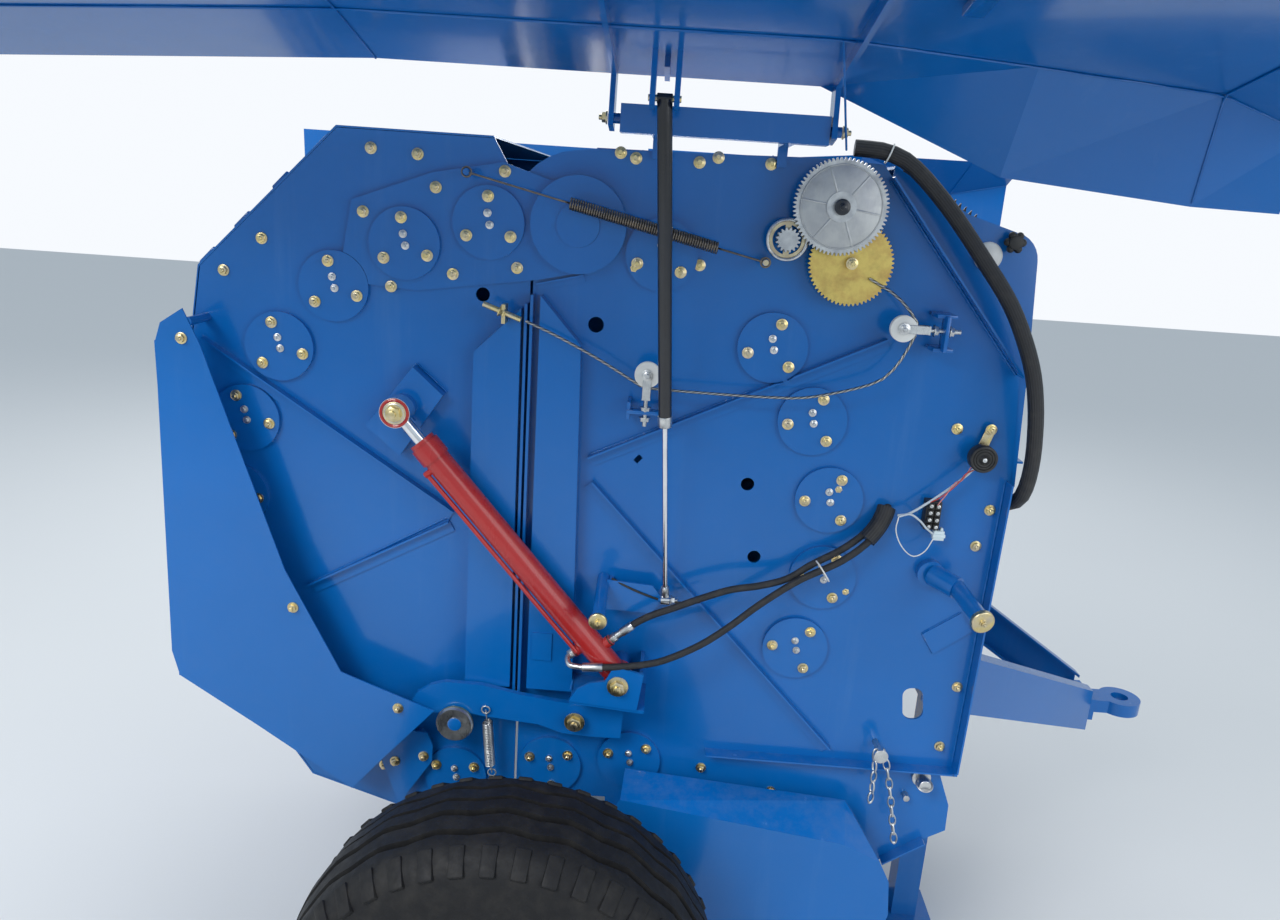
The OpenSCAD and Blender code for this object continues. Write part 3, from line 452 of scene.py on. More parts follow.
def buildMetalSkin():
    tree, given = startSkin("metalSkin", ("Tint", "Color"), ("Grime", "Float"), ("Gloss", "Float"))
    vector = given["Vector"]
    toned = mixed(tree, ranged(tree, noise(tree, vector, 38, 4), 0.38, 0.66), given["Color"], given["Tint"])
    grain = noise(tree, stretched(tree, vector, (900, 60, 60)), 1.0, 2)
    dirt = ranged(tree, noise(tree, vector, 17, 7, 0.68), 0.5, 0.74)
    dirt = calc(tree, "MULTIPLY", dirt, given["Grime"])
    rough = calc(tree, "ADD", given["Gloss"], calc(tree, "MULTIPLY", dirt, 0.4))
    rough = calc(tree, "ADD", rough, ranged(tree, grain, 0.3, 0.7, 0.0, 0.12))
    return endSkin(tree, mixed(tree, dirt, toned, soil["grease"]), rough, grain)


paintSkin = buildPaintSkin()
metalSkin = buildMetalSkin()


def startMaterial(name, **values):
    material = bpy.data.materials.new(name)
    material.use_nodes = True
    tree = material.node_tree
    tree.nodes.clear()
    shader = node(tree, "BsdfPrincipled", Coat_Roughness=0.08, **values)
    node(tree, "OutputMaterial", Surface=shader.outputs["BSDF"])
    return material, tree, shader.inputs, node(tree, "TexCoord").outputs["Object"]


def bumped(tree, shader, height, strength, depth):
    bump = node(tree, "Bump", Strength=strength, Distance=depth, Height=height)
    feed(tree, shader["Normal"], bump.outputs["Normal"])


def skinned(tree, shader, vector, group, bump, depth, **values):
    skin = tree.nodes.new("ShaderNodeGroup")
    skin.node_tree = group
    for name, value in dict(values, Vector=vector).items():
        feed(tree, skin.inputs[name], value)
    feed(tree, shader["Base Color"], skin.outputs["Color"])
    feed(tree, shader["Roughness"], skin.outputs["Roughness"])
    bumped(tree, shader, skin.outputs["Height"], bump, depth)


def paint(name, color, dust, gloss, coat):
    material, *parts = startMaterial(name, Coat_Weight=coat, Specular_IOR_Level=0.36)
    skinned(*parts, paintSkin, 0.12, 0.002, Color=color, Dust=dust, Gloss=gloss)
    return material


def metal(name, color, tint, grime, gloss, bump=0.15):
    material, *parts = startMaterial(name, Metallic=1.0)
    skinned(*parts, metalSkin, bump, 0.0006, Color=color, Tint=tint, Grime=grime, Gloss=gloss)
    return material


def dull(name, color, rough, grainScale, dust, bump=0.3, shine=0.5):
    # Plastic and rubber: fine grain, dust in the hollows
    material, tree, shader, vector = startMaterial(name, Specular_IOR_Level=shine)
    dirt = ranged(tree, noise(tree, vector, 21, 7, 0.65), 0.45, 0.75, 0.0, dust)
    feed(tree, shader["Base Color"], mixed(tree, dirt, color, soil["hollow"]))
    patches = noise(tree, vector, 60, 3)
    feed(tree, shader["Roughness"], ranged(tree, patches, 0.3, 0.7, rough - 0.08, rough + 0.1))
    bumped(tree, shader, noise(tree, vector, grainScale, 3), bump, 0.0008)
    return material


def wound(name, dark, pale, turns, pitch, metalness=0.0, rough=0.5, depth=0.0012):
    # Strands that wind round a tube, from its own UV map; without metal they cross as a braid
    material, tree, shader, vector = startMaterial(name, Metallic=metalness)
    uv = node(tree, "UVMap").outputs["UV"]
    along = calc(tree, "MULTIPLY", axis(tree, uv, "X"), math.tau / pitch)
    around = calc(tree, "MULTIPLY", axis(tree, uv, "Y"), math.tau * turns)
    strands = calc(tree, "SINE", calc(tree, "ADD", along, around))
    height = ranged(tree, strands, -1, 1)
    if metalness == 0:
        crossing = calc(tree, "SINE", calc(tree, "SUBTRACT", along, around))
        height = ranged(tree, calc(tree, "MULTIPLY", strands, crossing), -0.6, 0.6)
    grime = noise(tree, vector, 40, 5)
    color = mixed(tree, height, dark, pale)
    color = mixed(tree, ranged(tree, grime, 0.5, 0.75, 0, 0.3), color, soil["strand"])
    feed(tree, shader["Base Color"], color)
    feed(tree, shader["Roughness"], ranged(tree, grime, 0.3, 0.7, rough - 0.1, rough + 0.1))
    bumped(tree, shader, height, 0.6, depth)
    return material


gearZinc = {"behind": (-0.7085, -0.7075), "colors": ((0.60, 0.61, 0.60), (0.72, 0.55, 0.16)),
            "tints": ((0.42, 0.43, 0.44), (0.58, 0.38, 0.12)), "grime": 0.25, "gloss": 0.28}


def gearMaterial():
    # The outer gear is pale grey, and what lies behind it is yellow zinc
    material, tree, shader, vector = startMaterial("gearSteel", Metallic=0.85)
    behind = ranged(tree, axis(tree, vector, "Y"), *gearZinc["behind"])
    skinned(tree, shader, vector, metalSkin, 0.15, 0.0006, Color=mixed(tree, behind, *gearZinc["colors"]),
            Tint=mixed(tree, behind, *gearZinc["tints"]), Grime=gearZinc["grime"], Gloss=gearZinc["gloss"])
    return material


paints = {  # colour, dust, gloss, coat
    "bluePaint": ((0.002, 0.130, 0.440), 0.12, 0.16, 0.35),
    "redPaint": ((0.42, 0.018, 0.014), 0.25, 0.22, 0.4),
    "blackPaint": ((0.012, 0.012, 0.013), 0.2, 0.25, 0.5),
    "rimPaint": ((0.55, 0.55, 0.52), 0.6, 0.3, 0.2)}
metals = {  # colour, tint, grime, gloss, bump
    "wornSteel": ((0.50, 0.49, 0.47), (0.36, 0.33, 0.30), 0.5, 0.3),
    "darkSteel": ((0.20, 0.19, 0.18), (0.11, 0.10, 0.10), 0.4, 0.35),
    "castIron": ((0.22, 0.23, 0.24), (0.13, 0.13, 0.13), 0.5, 0.5, 0.5),
    "yellowZinc": ((0.74, 0.60, 0.28), (0.62, 0.54, 0.40), 0.25, 0.25),
    "silverZinc": ((0.70, 0.70, 0.68), (0.52, 0.53, 0.53), 0.25, 0.25),
    "chrome": ((0.80, 0.80, 0.81), (0.74, 0.74, 0.75), 0.06, 0.06, 0.02),
    "greyGear": ((0.50, 0.51, 0.50), (0.42, 0.43, 0.44), 0.15, 0.42),
    "springSteel": ((0.16, 0.145, 0.13), (0.24, 0.20, 0.16), 0.35, 0.32)}
dulls = {  # colour, roughness, grain, dust, bump, shine
    "blackPlastic": ((0.012, 0.012, 0.012), 0.45, 140, 0.15),
    "whitePlastic": ((0.72, 0.72, 0.68), 0.4, 120, 0.2, 0.1),
    "redWire": ((0.45, 0.03, 0.02), 0.35, 120, 0.1, 0.1),
    "pinkWire": ((0.60, 0.22, 0.20), 0.35, 120, 0.1, 0.1),
    "sheathGrey": ((0.50, 0.56, 0.60), 0.4, 120, 0.25, 0.1),
    "clearPlastic": ((0.62, 0.72, 0.74), 0.15, 120, 0.1, 0.05),
    "tyreRubber": ((0.008, 0.008, 0.009), 0.62, 230, 0.05, 0.45, 0.28)}
strands = {  # dark, pale, strands, pitch, metal, roughness, depth
    "hoseSleeve": ((0.004, 0.004, 0.004), (0.030, 0.030, 0.032), 10, 0.0042),
    "wireRope": ((0.14, 0.14, 0.13), (0.55, 0.54, 0.50), 3, 0.016, 1.0, 0.35, 0.0006)}
looks = {"gearSteel": gearMaterial()}
for make, kinds in ((paint, paints), (metal, metals), (dull, dulls), (wound, strands)):
    for name, values in kinds.items():
        looks[name] = make(name, *values)
slotLooks = {"blue_paint": "bluePaint", "worn_steel": "wornSteel", "cast_iron": "castIron",
             "dark_steel": "darkSteel", "zinc_steel": "yellowZinc", "black_plastic": "blackPlastic",
             "hose_rubber": "hoseSleeve", "red_paint": "redPaint", "chromed_rod": "chrome",
             "black_paint": "blackPaint", "tyre_rubber": "tyreRubber", "rim_paint": "rimPaint"}
usualSlots = {look: slot for slot, look in slotLooks.items()}  # the usual slot of each look
usualSlots.update(silverZinc="zinc_steel", greyGear="zinc_steel", springSteel="dark_steel",
                  wireRope="dark_steel", whitePlastic="black_plastic", clearPlastic="black_plastic")
for part in frame["record"]["subparts"]:
    look = "gearSteel" if part["node"] == "net_gears" else slotLooks[part["material_slot"]]
    carried = nodes[part["node"]].data.materials
    carried.clear()
    carried.append(looks[look])
print("materials:", len(looks))

# Camera, as fitted to the photograph
cameraAt = {"place": (-1.473, -2.712, 1.411), "pitch": 15.34, "yaw": -1.30, "roll": 3.83,
            "lens": 26.72, "sensor": 36}  # metres; degrees; lens and sensor in mm


def makeCamera():
    pitch, yaw, roll = (math.radians(cameraAt[k]) for k in ("pitch", "yaw", "roll"))
    ahead = Vector((math.sin(yaw) * math.cos(pitch), math.cos(yaw) * math.cos(pitch), -math.sin(pitch)))
    level = ahead.cross(wayUp).normalized()
    upright = level.cross(ahead)
    across = math.cos(roll) * level + math.sin(roll) * upright
    up = math.cos(roll) * upright - math.sin(roll) * level
    data = bpy.data.cameras.new("camera")
    data.lens = cameraAt["lens"]
    data.sensor_width = cameraAt["sensor"]
    camera = added("camera", data)
    turn = Matrix((across, up, -ahead)).transposed().to_4x4()
    camera.matrix_world = Matrix.Translation(cameraAt["place"]) @ turn
    bpy.context.scene.camera = camera


makeCamera()

# Hoses, cable and wires; rings and sides are those of the tube
frontHose = {"radius": 0.0165, "rings": 40, "sides": 14, "points": [
    (630, 34, 866), (692, 38, 862), (748, 42, 838), (830, 48, 762), (917, 62, 658), (975, 72, 582),
    (1015, 76, 510), (1044, 78, 440), (1062, 76, 370), (1074, 68, 305), (1082, 56, 255), (1086, 42, 205),
    (1086, 22, 164), (1081, -6, 140), (1070, -34, 130), (1057, -46, 128), (1040, -46, 128)]}
lowHose = {"radius": 0.0080, "rings": 38, "sides": 12, "points": [
    (188, 124, -276), (215, 125, -273), (276, 119, -266), (330, 113, -252), (406, 102, -214),
    (470, 90, -168), (531, 79, -116), (613, 70, -55), (697, 64, -8), (750, 50, 30), (785, 30, 66),
    (800, 17, 100), (804, 0, 112)]}
highHose = {"radius": 0.0080, "rings": 38, "sides": 12, "points": [
    (228, 85, -206), (246, 85, -190), (270, 85, -172), (300, 85, -155), (340, 83, -138), (398, 80, -112),
    (465, 72, -88), (528, 66, -76), (590, 56, -58), (640, 52, -22), (700, 42, 12), (742, 34, 44),
    (768, 28, 72), (784, 16, 96), (787, 0, 104)]}
tripCable = {"radius": 0.003, "rings": 40, "sides": 10, "points": [
    (-16, 65, 478), (47, 65, 453), (144, 65, 407), (233, 65, 358), (247, 65, 354), (380, 65, 352),
    (512, 65, 353), (596, 65, 360), (717, 65, 396), (762, 65, 434), (793, 65, 500), (797, 65, 521),
    (788, 65, 541), (753, 52, 578), (722, 44, 596), (690, 43, 612)]}
thinCords = {  # look, radius, slot, stiffness, points
    "hornSheath": ("sheathGrey", 0.0030, "black_plastic", "medium", [
        (972, 36, 226), (951, 38, 203), (913, 40, 167), (874, 40, 134), (842, 37, 109), (820, 32, 102)]),
    "loopSheath": ("sheathGrey", 0.0025, "black_plastic", "medium", [
        (822, 40, 102), (843, 46, 111), (866, 46, 98), (884, 42, 80), (902, 36, 66)]),
    "hornWireRed": ("redWire", 0.0013, "red_paint", "limp", [
        (976, 34, 222), (950, 46, 212), (940, 48, 196), (921, 47, 172), (900, 46, 152), (884, 42, 141)]),
    "hornWirePink": ("pinkWire", 0.0013, "red_paint", "limp", [
        (966, 34, 232), (944, 44, 196), (930, 46, 190), (912, 47, 158), (906, 44, 146), (902, 40, 134)]),
    "loopWire": ("whitePlastic", 0.0013, "black_plastic", "limp", [
        (822, 36, 100), (818, 44, 70), (834, 47, 36), (862, 46, 14), (888, 42, 26), (905, 34, 54)]),
    "postCable": ("blackPlastic", 0.0026, "hose_rubber", "medium", [
        (196, 34, -98), (225, 40, -110), (262, 42, -124), (309, 42, -138), (350, 46, -140), (400, 62, -128)])}


def makeCord(name, cord, body, look, side=right):
    line = smoothLine([place(*p, side) for p in cord["points"]], cord["rings"])
    piece = finish(tube(name, line, cord["radius"], cord["sides"]), body, look, 60)
    return piece


def makeCords():
    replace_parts(makeCord("frontHose", frontHose, "root", "hoseSleeve"), "hydraulic_hoses")
    for side, name in bothSides:
        for key, cord in (("lowHose", lowHose), ("highHose", highHose)):
            hose = makeCord(key + "_" + name, cord, None, "hoseSleeve", side)
            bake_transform(hose)
            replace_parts(hose, "cylinder_hoses")
    cable = makeCord("tripCable", tripCable, None, "wireRope")
    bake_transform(cable)
    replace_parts(cable, "trip_cable")
    for name, (look, radius, slot, stiffness, points) in thinCords.items():
        cord = {"radius": radius, "rings": 26, "sides": 8, "points": points}
        makeCord(name, cord, "root", look)


makeCords()
print("cords made")

# Bolts, modelled once
boltForm = {"washer": 0.0022, "seat": 0.0024, "headInset": 0.14, "headRise": 0.12, "stud": 0.52}


def makeBolt(name, head, tall, washer, stud):
    seat = boltForm["seat"]
    return joined([disc(washer, boltForm["washer"], 0, 20, (0.0006, 0.0003)),
                   disc(head, tall, seat, 6, (head * boltForm["headInset"], tall * boltForm["headRise"])),
                   disc(head * boltForm["stud"], stud, seat + tall, 10, (head * 0.1, 0.0008))], name)


bolt = makeBolt("boltModel", 0.0095, 0.007, 0.0125, 0.006)
bigBolt = makeBolt("bigBoltModel", 0.017, 0.012, 0.024, 0.008)
smallBolt = makeBolt("smallBoltModel", 0.0065, 0.005, 0.0085, 0.003)

# Bearing flanges: three bolts and two nipples each; angles on the rollers' ring
bearings = {"off": 10, "pivotPlate": 10.5, "circle": 54, "nipples": ((3, -4, 20), (-2, 20, 50)),
            "front": [67.69, 41.4, 25.69, 9.98, -5.73, -21.44], "low": [(70, -612), (263, -581)],
            "tail": [83.4 + i * 15.71 for i in range(1, 12)]}


def makeBearingBolts():
    off, plate = bearings["off"], bearings["pivotPlate"]
    front = [(*onRing(a), off) for a in bearings["front"]] + [(x, z, off) for x, z in bearings["low"]]
    tail = [(*onRing(a), off + plate * (i < 2)) for i, a in enumerate(bearings["tail"])]
    for body, name, spots in (("root", "front", front), ("tailgate", "tailgate", tail)):
        heads, nipples = [], []
        for x, z, out in spots:
            lean = math.degrees(math.atan2(z, x)) * 0.3 + 62
            for k in range(3):
                dx, dz = onRing(lean + k * 120, bearings["circle"])
                heads.append(outward(place(x + dx, out, z + dz), right, k * 17))
            for dx, dz, turn in bearings["nipples"]:
                nipples.append(outward(place(x + dx, out, z + dz), right, turn))
        onBothSides(copies(bolt, heads), name + "BearingBolts", body, "yellowZinc")
        onBothSides(copies(smallBolt, nipples), name + "BearingNipples", body, "silverZinc")


plateBolts = {
    "tailgate": [
        (-375, 677, 10.5), (-221, 736, 10.5), (-77, 777, 10.5), (-316, 525, 10.5), (-183, 560, 10.5),
        (-46, 582, 10.5), (-598, 607, 0), (-684, 534, 0), (-262, 800, 0), (-360, 806, 0),
        (-521, -204, 90), (-281, -439, 90), (-740, 395, 90), (-306, -620, 30), (-236, -600, 30)],
    "root": [
        (192, 820, 0), (323, 820, 0), (160, 829, 0), (361, 832, 0), (470, 826, 0), (202, 598, 0),
        (340, 613, 0), (733, -98, 0), (688, 145, 0), (1030, 120, 0), (1012, 33, 0), (616, -640, 0),
        (440, -590, 0), (930, 300, 0), (1024, -320, 0), (1006, -480, 0)]}
pinNuts = [("rod_{}", -283, 269, 105), ("root", 131, -447, 78), ("root", 228, -317, 131)]


def makePlateBolts():
    for body, spots in plateBolts.items():
        heads = copies(bolt, [outward(place(x, off, z), right, x) for x, z, off in spots])
        onBothSides(heads, body + "PlateBolts", body, "yellowZinc")
    for side, name in bothSides:
        for body, x, z, off in pinNuts:
            nut = copyOf(bigBolt, outward(place(x, off, z, side), side, 12))
            assemble([nut], "pinNut" + str(off) + "_" + name, body.format(name), "yellowZinc")


catchDish = {"x": -152, "z": -480, "off": 72, "radii": (0.0435, 0.0405), "tall": 0.006,
             "steps": (0.004, 0.020), "deep": 0.0045, "core": (73, 77), "coreRadius": 0.0165}


def makeCatchDish():
    # The washer that the latch's pin stands in: a bright dish with a dark middle
    low, high = catchDish["radii"]
    tall = catchDish["tall"]
    model = primitive("cone", vertices=48, radius1=low, radius2=high, depth=tall, location=(0, 0, tall / 2))
    applied(model)

    def work(bm):
        chooseTop(bm)
        for step in catchDish["steps"]:
            bpy.ops.mesh.inset(thickness=step)
        bpy.ops.transform.translate(value=(0, 0, -catchDish["deep"]))
    shape(model, work)
    x, z = catchDish["x"], catchDish["z"]
    for side, name in bothSides:
        dish = copyOf(model, outward(place(x, catchDish["off"], z, side), side))
        assemble([dish], "catchDish_" + name, "tailgate", "silverZinc")
        start, end = ((x, off, z) for off in catchDish["core"])
        core = rodAt(start, end, catchDish["coreRadius"], 32, 0.002, side)
        assemble([core], "catchCore_" + name, "tailgate", "bluePaint")
    drop(model)


makeBearingBolts()
makePlateBolts()
makeCatchDish()
print("bolts made")

# Net drive: ribbed face and hub of the big gear, ring about the pinion, nuts
netDrive = {"face": (612, 66, 750), "hub": (612, 78, 750), "pinionRing": (513, 49, 679), "radius": 0.0835,
            "nuts": [((650, 48, 640), 40), ((513, 50, 679), 25)],
            "spokes": 6, "spoke": (0.064, 0.0042, 0.0030), "spokeAt": (0.0485, 0, 0.002), "spokeTurn": -8}


def makeNetDrive():
    parts = [disc(netDrive["radius"], 0.002, 0, 96, (0.001, 0.0004)),
             disc(0.0205, 0.006, 0, 40, (0.0045, -0.0035))]
    for k in range(netDrive["spokes"]):
        turn = turnBy(netDrive["spokeTurn"] + k * 60, "Z")
        parts.append(block(turn @ Vector(netDrive["spokeAt"]), netDrive["spoke"], 0.0012, 2, turn))
    parts.append(ringOf(netDrive["radius"] - 0.002, 0.0016, 72, 6, 0.002))
    face = put(joined(parts, "bigGearFace"), outward(place(*netDrive["face"])))
    finish(face, "root", "greyGear")
    hub = joined([disc(0.0160, 0.004, 0, 32, (0.003, 0.001)),
                  copyOf(smallBolt, Matrix.Translation((0, 0, 0.004)))], "bigGearHub")
    finish(put(hub, outward(place(*netDrive["hub"]))), "root", "blackPaint")
    ring = put(ringOf(0.040, 0.0035, 48), outward(place(*netDrive["pinionRing"])))
    assemble([ring], "pinionRing", "root", "silverZinc")
    nuts = [outward(place(*at), right, turn) for at, turn in netDrive["nuts"]]
    assemble(copies(bolt, nuts), "gearNuts", "root", "yellowZinc")


makeNetDrive()

# Springs: the points are hook, coil's start, coil's end, hook
springs = {"long": {"points": [(-146, 62, 770), (66, 62, 722), (373, 62, 653), (472, 62, 631)],
                    "radius": 0.0112, "wire": 0.0021, "turns": 62, "look": "springSteel"},
           "latch": {"points": [(-80, 66, -440), (-78, 52, -480), (-70, 44, -600), (-66, 40, -624)],
                     "radius": 0.011, "wire": 0.0018, "turns": 26, "look": "silverZinc"}}


def makeSpring(name, spring, side=right):
    start, coilStart, coilEnd, end = (place(*p, side) for p in spring["points"])
    line = [start, start.lerp(coilStart, 0.5), start.lerp(coilStart, 0.94)]
    line += coil(coilStart, coilEnd, spring["radius"], spring["turns"])
    line += [coilEnd.lerp(end, 0.06), coilEnd.lerp(end, 0.5), end]
    parts = [tube(name, line, spring["wire"], 7)]
    parts += [put(ringOf(0.0095, spring["wire"], 24), outward(at)) for at in (start, end)]
    return assemble(parts, name, None, spring["look"], 60), tuple(start), tuple(end)


def makeSprings():
    piece, moved, fixed = makeSpring("tensionSpringCoil", springs["long"])
    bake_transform(piece)
    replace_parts(piece, "tension_spring")
    for side, name in bothSides:
        piece, moved, fixed = makeSpring("latchSpring_" + name, springs["latch"], side)
        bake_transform(piece)


makeSprings()
print("springs made")

# Wheels: a tyre with zigzag ribs and shoulder lugs; half is its section as radius and width
tyre = {"axle": (45, 470, -845), "steps": 132, "zig": 0.006, "ribs": 0.423, "ribsHalf": 0.08,
        "lugs": 44, "lug": (0.058, 0.030, 0.020), "lugAt": (0.4105, 0, 0.1235), "lugLean": 52,
        "sideRings": ((0.1530, 0.318), (0.1482, 0.272)),
        "nuts": 6, "nutCircle": 78, "nutsOut": 44, "capOut": 80,
        "half": [(0.2005, 0.1080), (0.2040, 0.1220), (0.2180, 0.1300), (0.2600, 0.1450), (0.2950, 0.1545),
                 (0.3400, 0.1550), (0.3850, 0.1480), (0.4020, 0.1400), (0.4180, 0.1250), (0.4300, 0.1060),
                 (0.4340, 0.0900), (0.4350, 0.0760), (0.4240, 0.0740), (0.4240, 0.0640), (0.4380, 0.0620),
                 (0.4420, 0.0280), (0.4300, 0.0260), (0.4300, 0.0160), (0.4445, 0.0140), (0.4450, 0.0)],
        "inner": [(0.2150, -0.1000), (0.2150, 0.1000)]}


def makeTread():
    half = tyre["half"]
    outline = half + [(r, -w) for r, w in reversed(half[:-1])] + tyre["inner"]
    mesh = bpy.data.meshes.new("tyreSection")
    edges = [(i, (i + 1) % len(outline)) for i in range(len(outline))]
    mesh.from_pydata([(r, 0, w) for r, w in outline], edges, [])
    piece = added("tyreSection", mesh)

    def work(bm):
        bpy.ops.mesh.select_all(action="SELECT")
        bpy.ops.mesh.spin(steps=tyre["steps"], angle=math.tau, center=(0, 0, 0), axis=(0, 0, 1))
        bpy.ops.mesh.select_all(action="SELECT")
        bpy.ops.mesh.remove_doubles(threshold=0.00005)
        bpy.ops.mesh.normals_make_consistent(inside=False)
    shape(piece, work)
    for vert in piece.data.vertices:
        if math.hypot(vert.co.x, vert.co.y) > tyre["ribs"] and abs(vert.co.z) < tyre["ribsHalf"]:
            step = round(math.atan2(vert.co.y, vert.co.x) / math.tau * tyre["steps"])
            vert.co.z += tyre["zig"] * (abs(step % 6 - 3) / 1.5 - 1)
    return piece


def makeWheels():
    tread = makeTread()
    lug = block(tyre["lugAt"], tyre["lug"], 0.004, 2, turnBy(tyre["lugLean"], "Y"))
    lugs = []
    for k in range(tyre["lugs"]):
        for flip in (1, -1):
            turn = Matrix.Rotation(math.tau * (k + 0.25 * flip) / tyre["lugs"], 4, "Z")
            lugs.append(copyOf(lug, turn @ Matrix.Diagonal((1, 1, flip, 1))))
    drop(lug)
    rings = [ringOf(r, 0.0022, 96, 6, flip * w) for w, r in tyre["sideRings"] for flip in (1, -1)]
    whole = joined([tread, turnedOut(joined(lugs, "lugs"))] + rings, "tyreModel")
    x, off, z = tyre["axle"]
    for side, name in bothSides:
        body = "wheel_" + name
        made = copyOf(whole, outward(place(x, off, z, side), side))
        assemble([made], "tyreTread_" + name, body, "tyreRubber", 32)
        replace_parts(made, "tyre_" + name)
        nuts = []
        for k in range(tyre["nuts"]):
            dx, dz = onRing(k * 60, tyre["nutCircle"])
            nuts.append(outward(place(x + dx, off + tyre["nutsOut"], z + dz, side), side, k * 13))
        assemble(copies(bolt, nuts), "wheelNuts_" + name, body, "yellowZinc")
        cap = disc(0.036, 0.020, 0, 40, (0.008, 0.005))
        put(cap, outward(place(x, off + tyre["capOut"], z, side), side))
        assemble([cap], "hubCap_" + name, body, "rimPaint")
    drop(whole)


makeWheels()
print("wheels made")

# Pulleys, each with its fork, adjuster and brackets, drawn from the pulley's middle
pulleys = [
    {"at": (247, 383), "fork": [(-9, 10), (9, 10), (9, -52), (-9, -52)], "yoke": (2, 3),
     "adjuster": ((0, -54), (0, -112)), "nuts": ((0, -92), (0, -70)), "turn": (180, "X"),
     "brackets": [((-40, 60, -82), (42, 60, -82), 0.028), ((-36, 34, -100), (-36, 34, -62), 0.068),
                  ((38, 34, -100), (38, 34, -62), 0.068)]},
    {"at": (768, 517), "fork": [(-10, -9), (-10, 9), (52, 9), (52, -9)], "yoke": (3, 2),
     "adjuster": ((54, 0), (118, 0)), "nuts": ((62, 0), (94, 0)), "turn": (90, "Y"),
     "brackets": [((86, 66, -42), (86, 66, 32), 0.040), ((66, 34, 30), (108, 34, 30), 0.068),
                  ((66, 34, -40), (108, 34, -40), 0.068)]}]
forkOff = {"flanges": (59.5, 69), "plates": (55, 73), "middle": 66, "bolt": 74}
cableNuts = [((-60, 65, 492), (-106, 65, 508)), ((-72, 65, 496), (-26, 65, 480))]


def makePulleys():
    wheels, steel, blue = [], [], []
    middle = forkOff["middle"]
    for pulley in pulleys:
        x, z = pulley["at"]
        for off in forkOff["flanges"]:
            flange = disc(0.0275, 0.0032, 0, 40, (0.002, 0.0008))
            wheels.append(put(flange, outward(place(x, off, z))))
        fork = [(x + dx, z + dz) for dx, dz in pulley["fork"]]
        end, start = ((fork[i][0], middle, fork[i][1]) for i in pulley["yoke"])
        steel += [plateOf(fork, off, 3) for off in forkOff["plates"]] + [bar(start, end, 0.004, 0.021)]
        start, end = ((x + dx, middle, z + dz) for dx, dz in pulley["adjuster"])
        steel.append(rodAt(start, end, 0.0048, 14))
        steel.append(copyOf(bolt, outward(place(x, forkOff["bolt"], z), right, 20)))
        angle, about = pulley["turn"]
        turn = turnBy(angle, about)
        nuts = [Matrix.Translation(place(x + dx, middle, z + dz)) @ turn for dx, dz in pulley["nuts"]]
        steel += copies(bolt, nuts)
        for start, end, deep in pulley["brackets"]:
            start, end = ((x + dx, off, z + dz) for dx, off, dz in (start, end))
            blue.append(bar(start, end, 0.008, deep, 0.0012))
    assemble(wheels, "pulleyFlanges", "root", "whitePlastic")
    assemble(steel, "pulleyForks", "root", "silverZinc")
    assemble(blue, "pulleyBrackets", "root", "bluePaint")
    nuts = copies(bolt, [aimed(place(*start), place(*end)) for start, end in cableNuts])
    assemble(nuts, "adjusterNuts", "tailgate", "yellowZinc")


makePulleys()

# Horn and its strap
horn = {"at": (982, 14, 247), "screw": (982, 54.5, 247), "body": (0.0300, 0.026, 0.010),
        "cone": {"radius1": 0.011, "radius2": 0.006, "depth": 0.005},
        "rings": [(0.0262, 0.0036), (0.0200, 0.0028), (0.0145, 0.0026)], "ringsAt": 0.0355,
        "strap": ((982, 12, 247), (999, 12, 306)), "strapEnd": ((999, 10.5, 306), (999, 13.5, 306)),
        "spacer": ((999, 0, 306), (999, 10.5, 306))}


def makeHorn():
    parts = [rounded(disc(*horn["body"], 56), 0.004, 3), disc(0.020, 0.012)]
    parts.append(primitive("cone", vertices=40, location=(0, 0, 0.038), **horn["cone"]))
    parts += [ringOf(radius, wire, 56, 8, horn["ringsAt"]) for radius, wire in horn["rings"]]
    body = put(joined(parts, "hornBody"), outward(place(*horn["at"])))
    finish(body, "root", "blackPlastic")
    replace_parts(body, "electrics")
    screw = put(disc(0.0048, 0.003, 0, 20, (0.0012, 0.0008)), outward(place(*horn["screw"])))
    assemble([screw], "hornScrew", "root", "silverZinc")
    nut = outward(place(*horn["strapEnd"][1]), right, 33)
    strap = [bar(*horn["strap"], 0.022, 0.003, 0.0008, 1), rodAt(*horn["strapEnd"], 0.011, 28),
             rodAt(*horn["spacer"], 0.007, 20), copyOf(bolt, nut)]
    assemble(strap, "hornStrap", "root", "yellowZinc")


makeHorn()

# Terminal block, its plug, and the sleeve that the cylinder hoses enter
terminals = {"at": (898, 106), "foot": (0.034, 0.030, 0.066), "cell": (0.013, 0.010, 0.013), "pitch": 16,
             "screw": 0.46, "off": {"foot": 15, "cell": 33, "screw": 37, "plug": 26}}
plug = {"at": (916, 62), "shells": [((0, 0), (0.024, 0.020, 0.022)), ((0, 0), (0.028, 0.024, 0.008)),
                                    ((-8, 12), (0.006, 0.012, 0.010)), ((6, 12), (0.006, 0.012, 0.010))]}
hoseSleeve = {"radius": 0.0205, "points": [(758, 38, 42), (780, 28, 70), (793, 18, 94), (799, 10, 112)]}


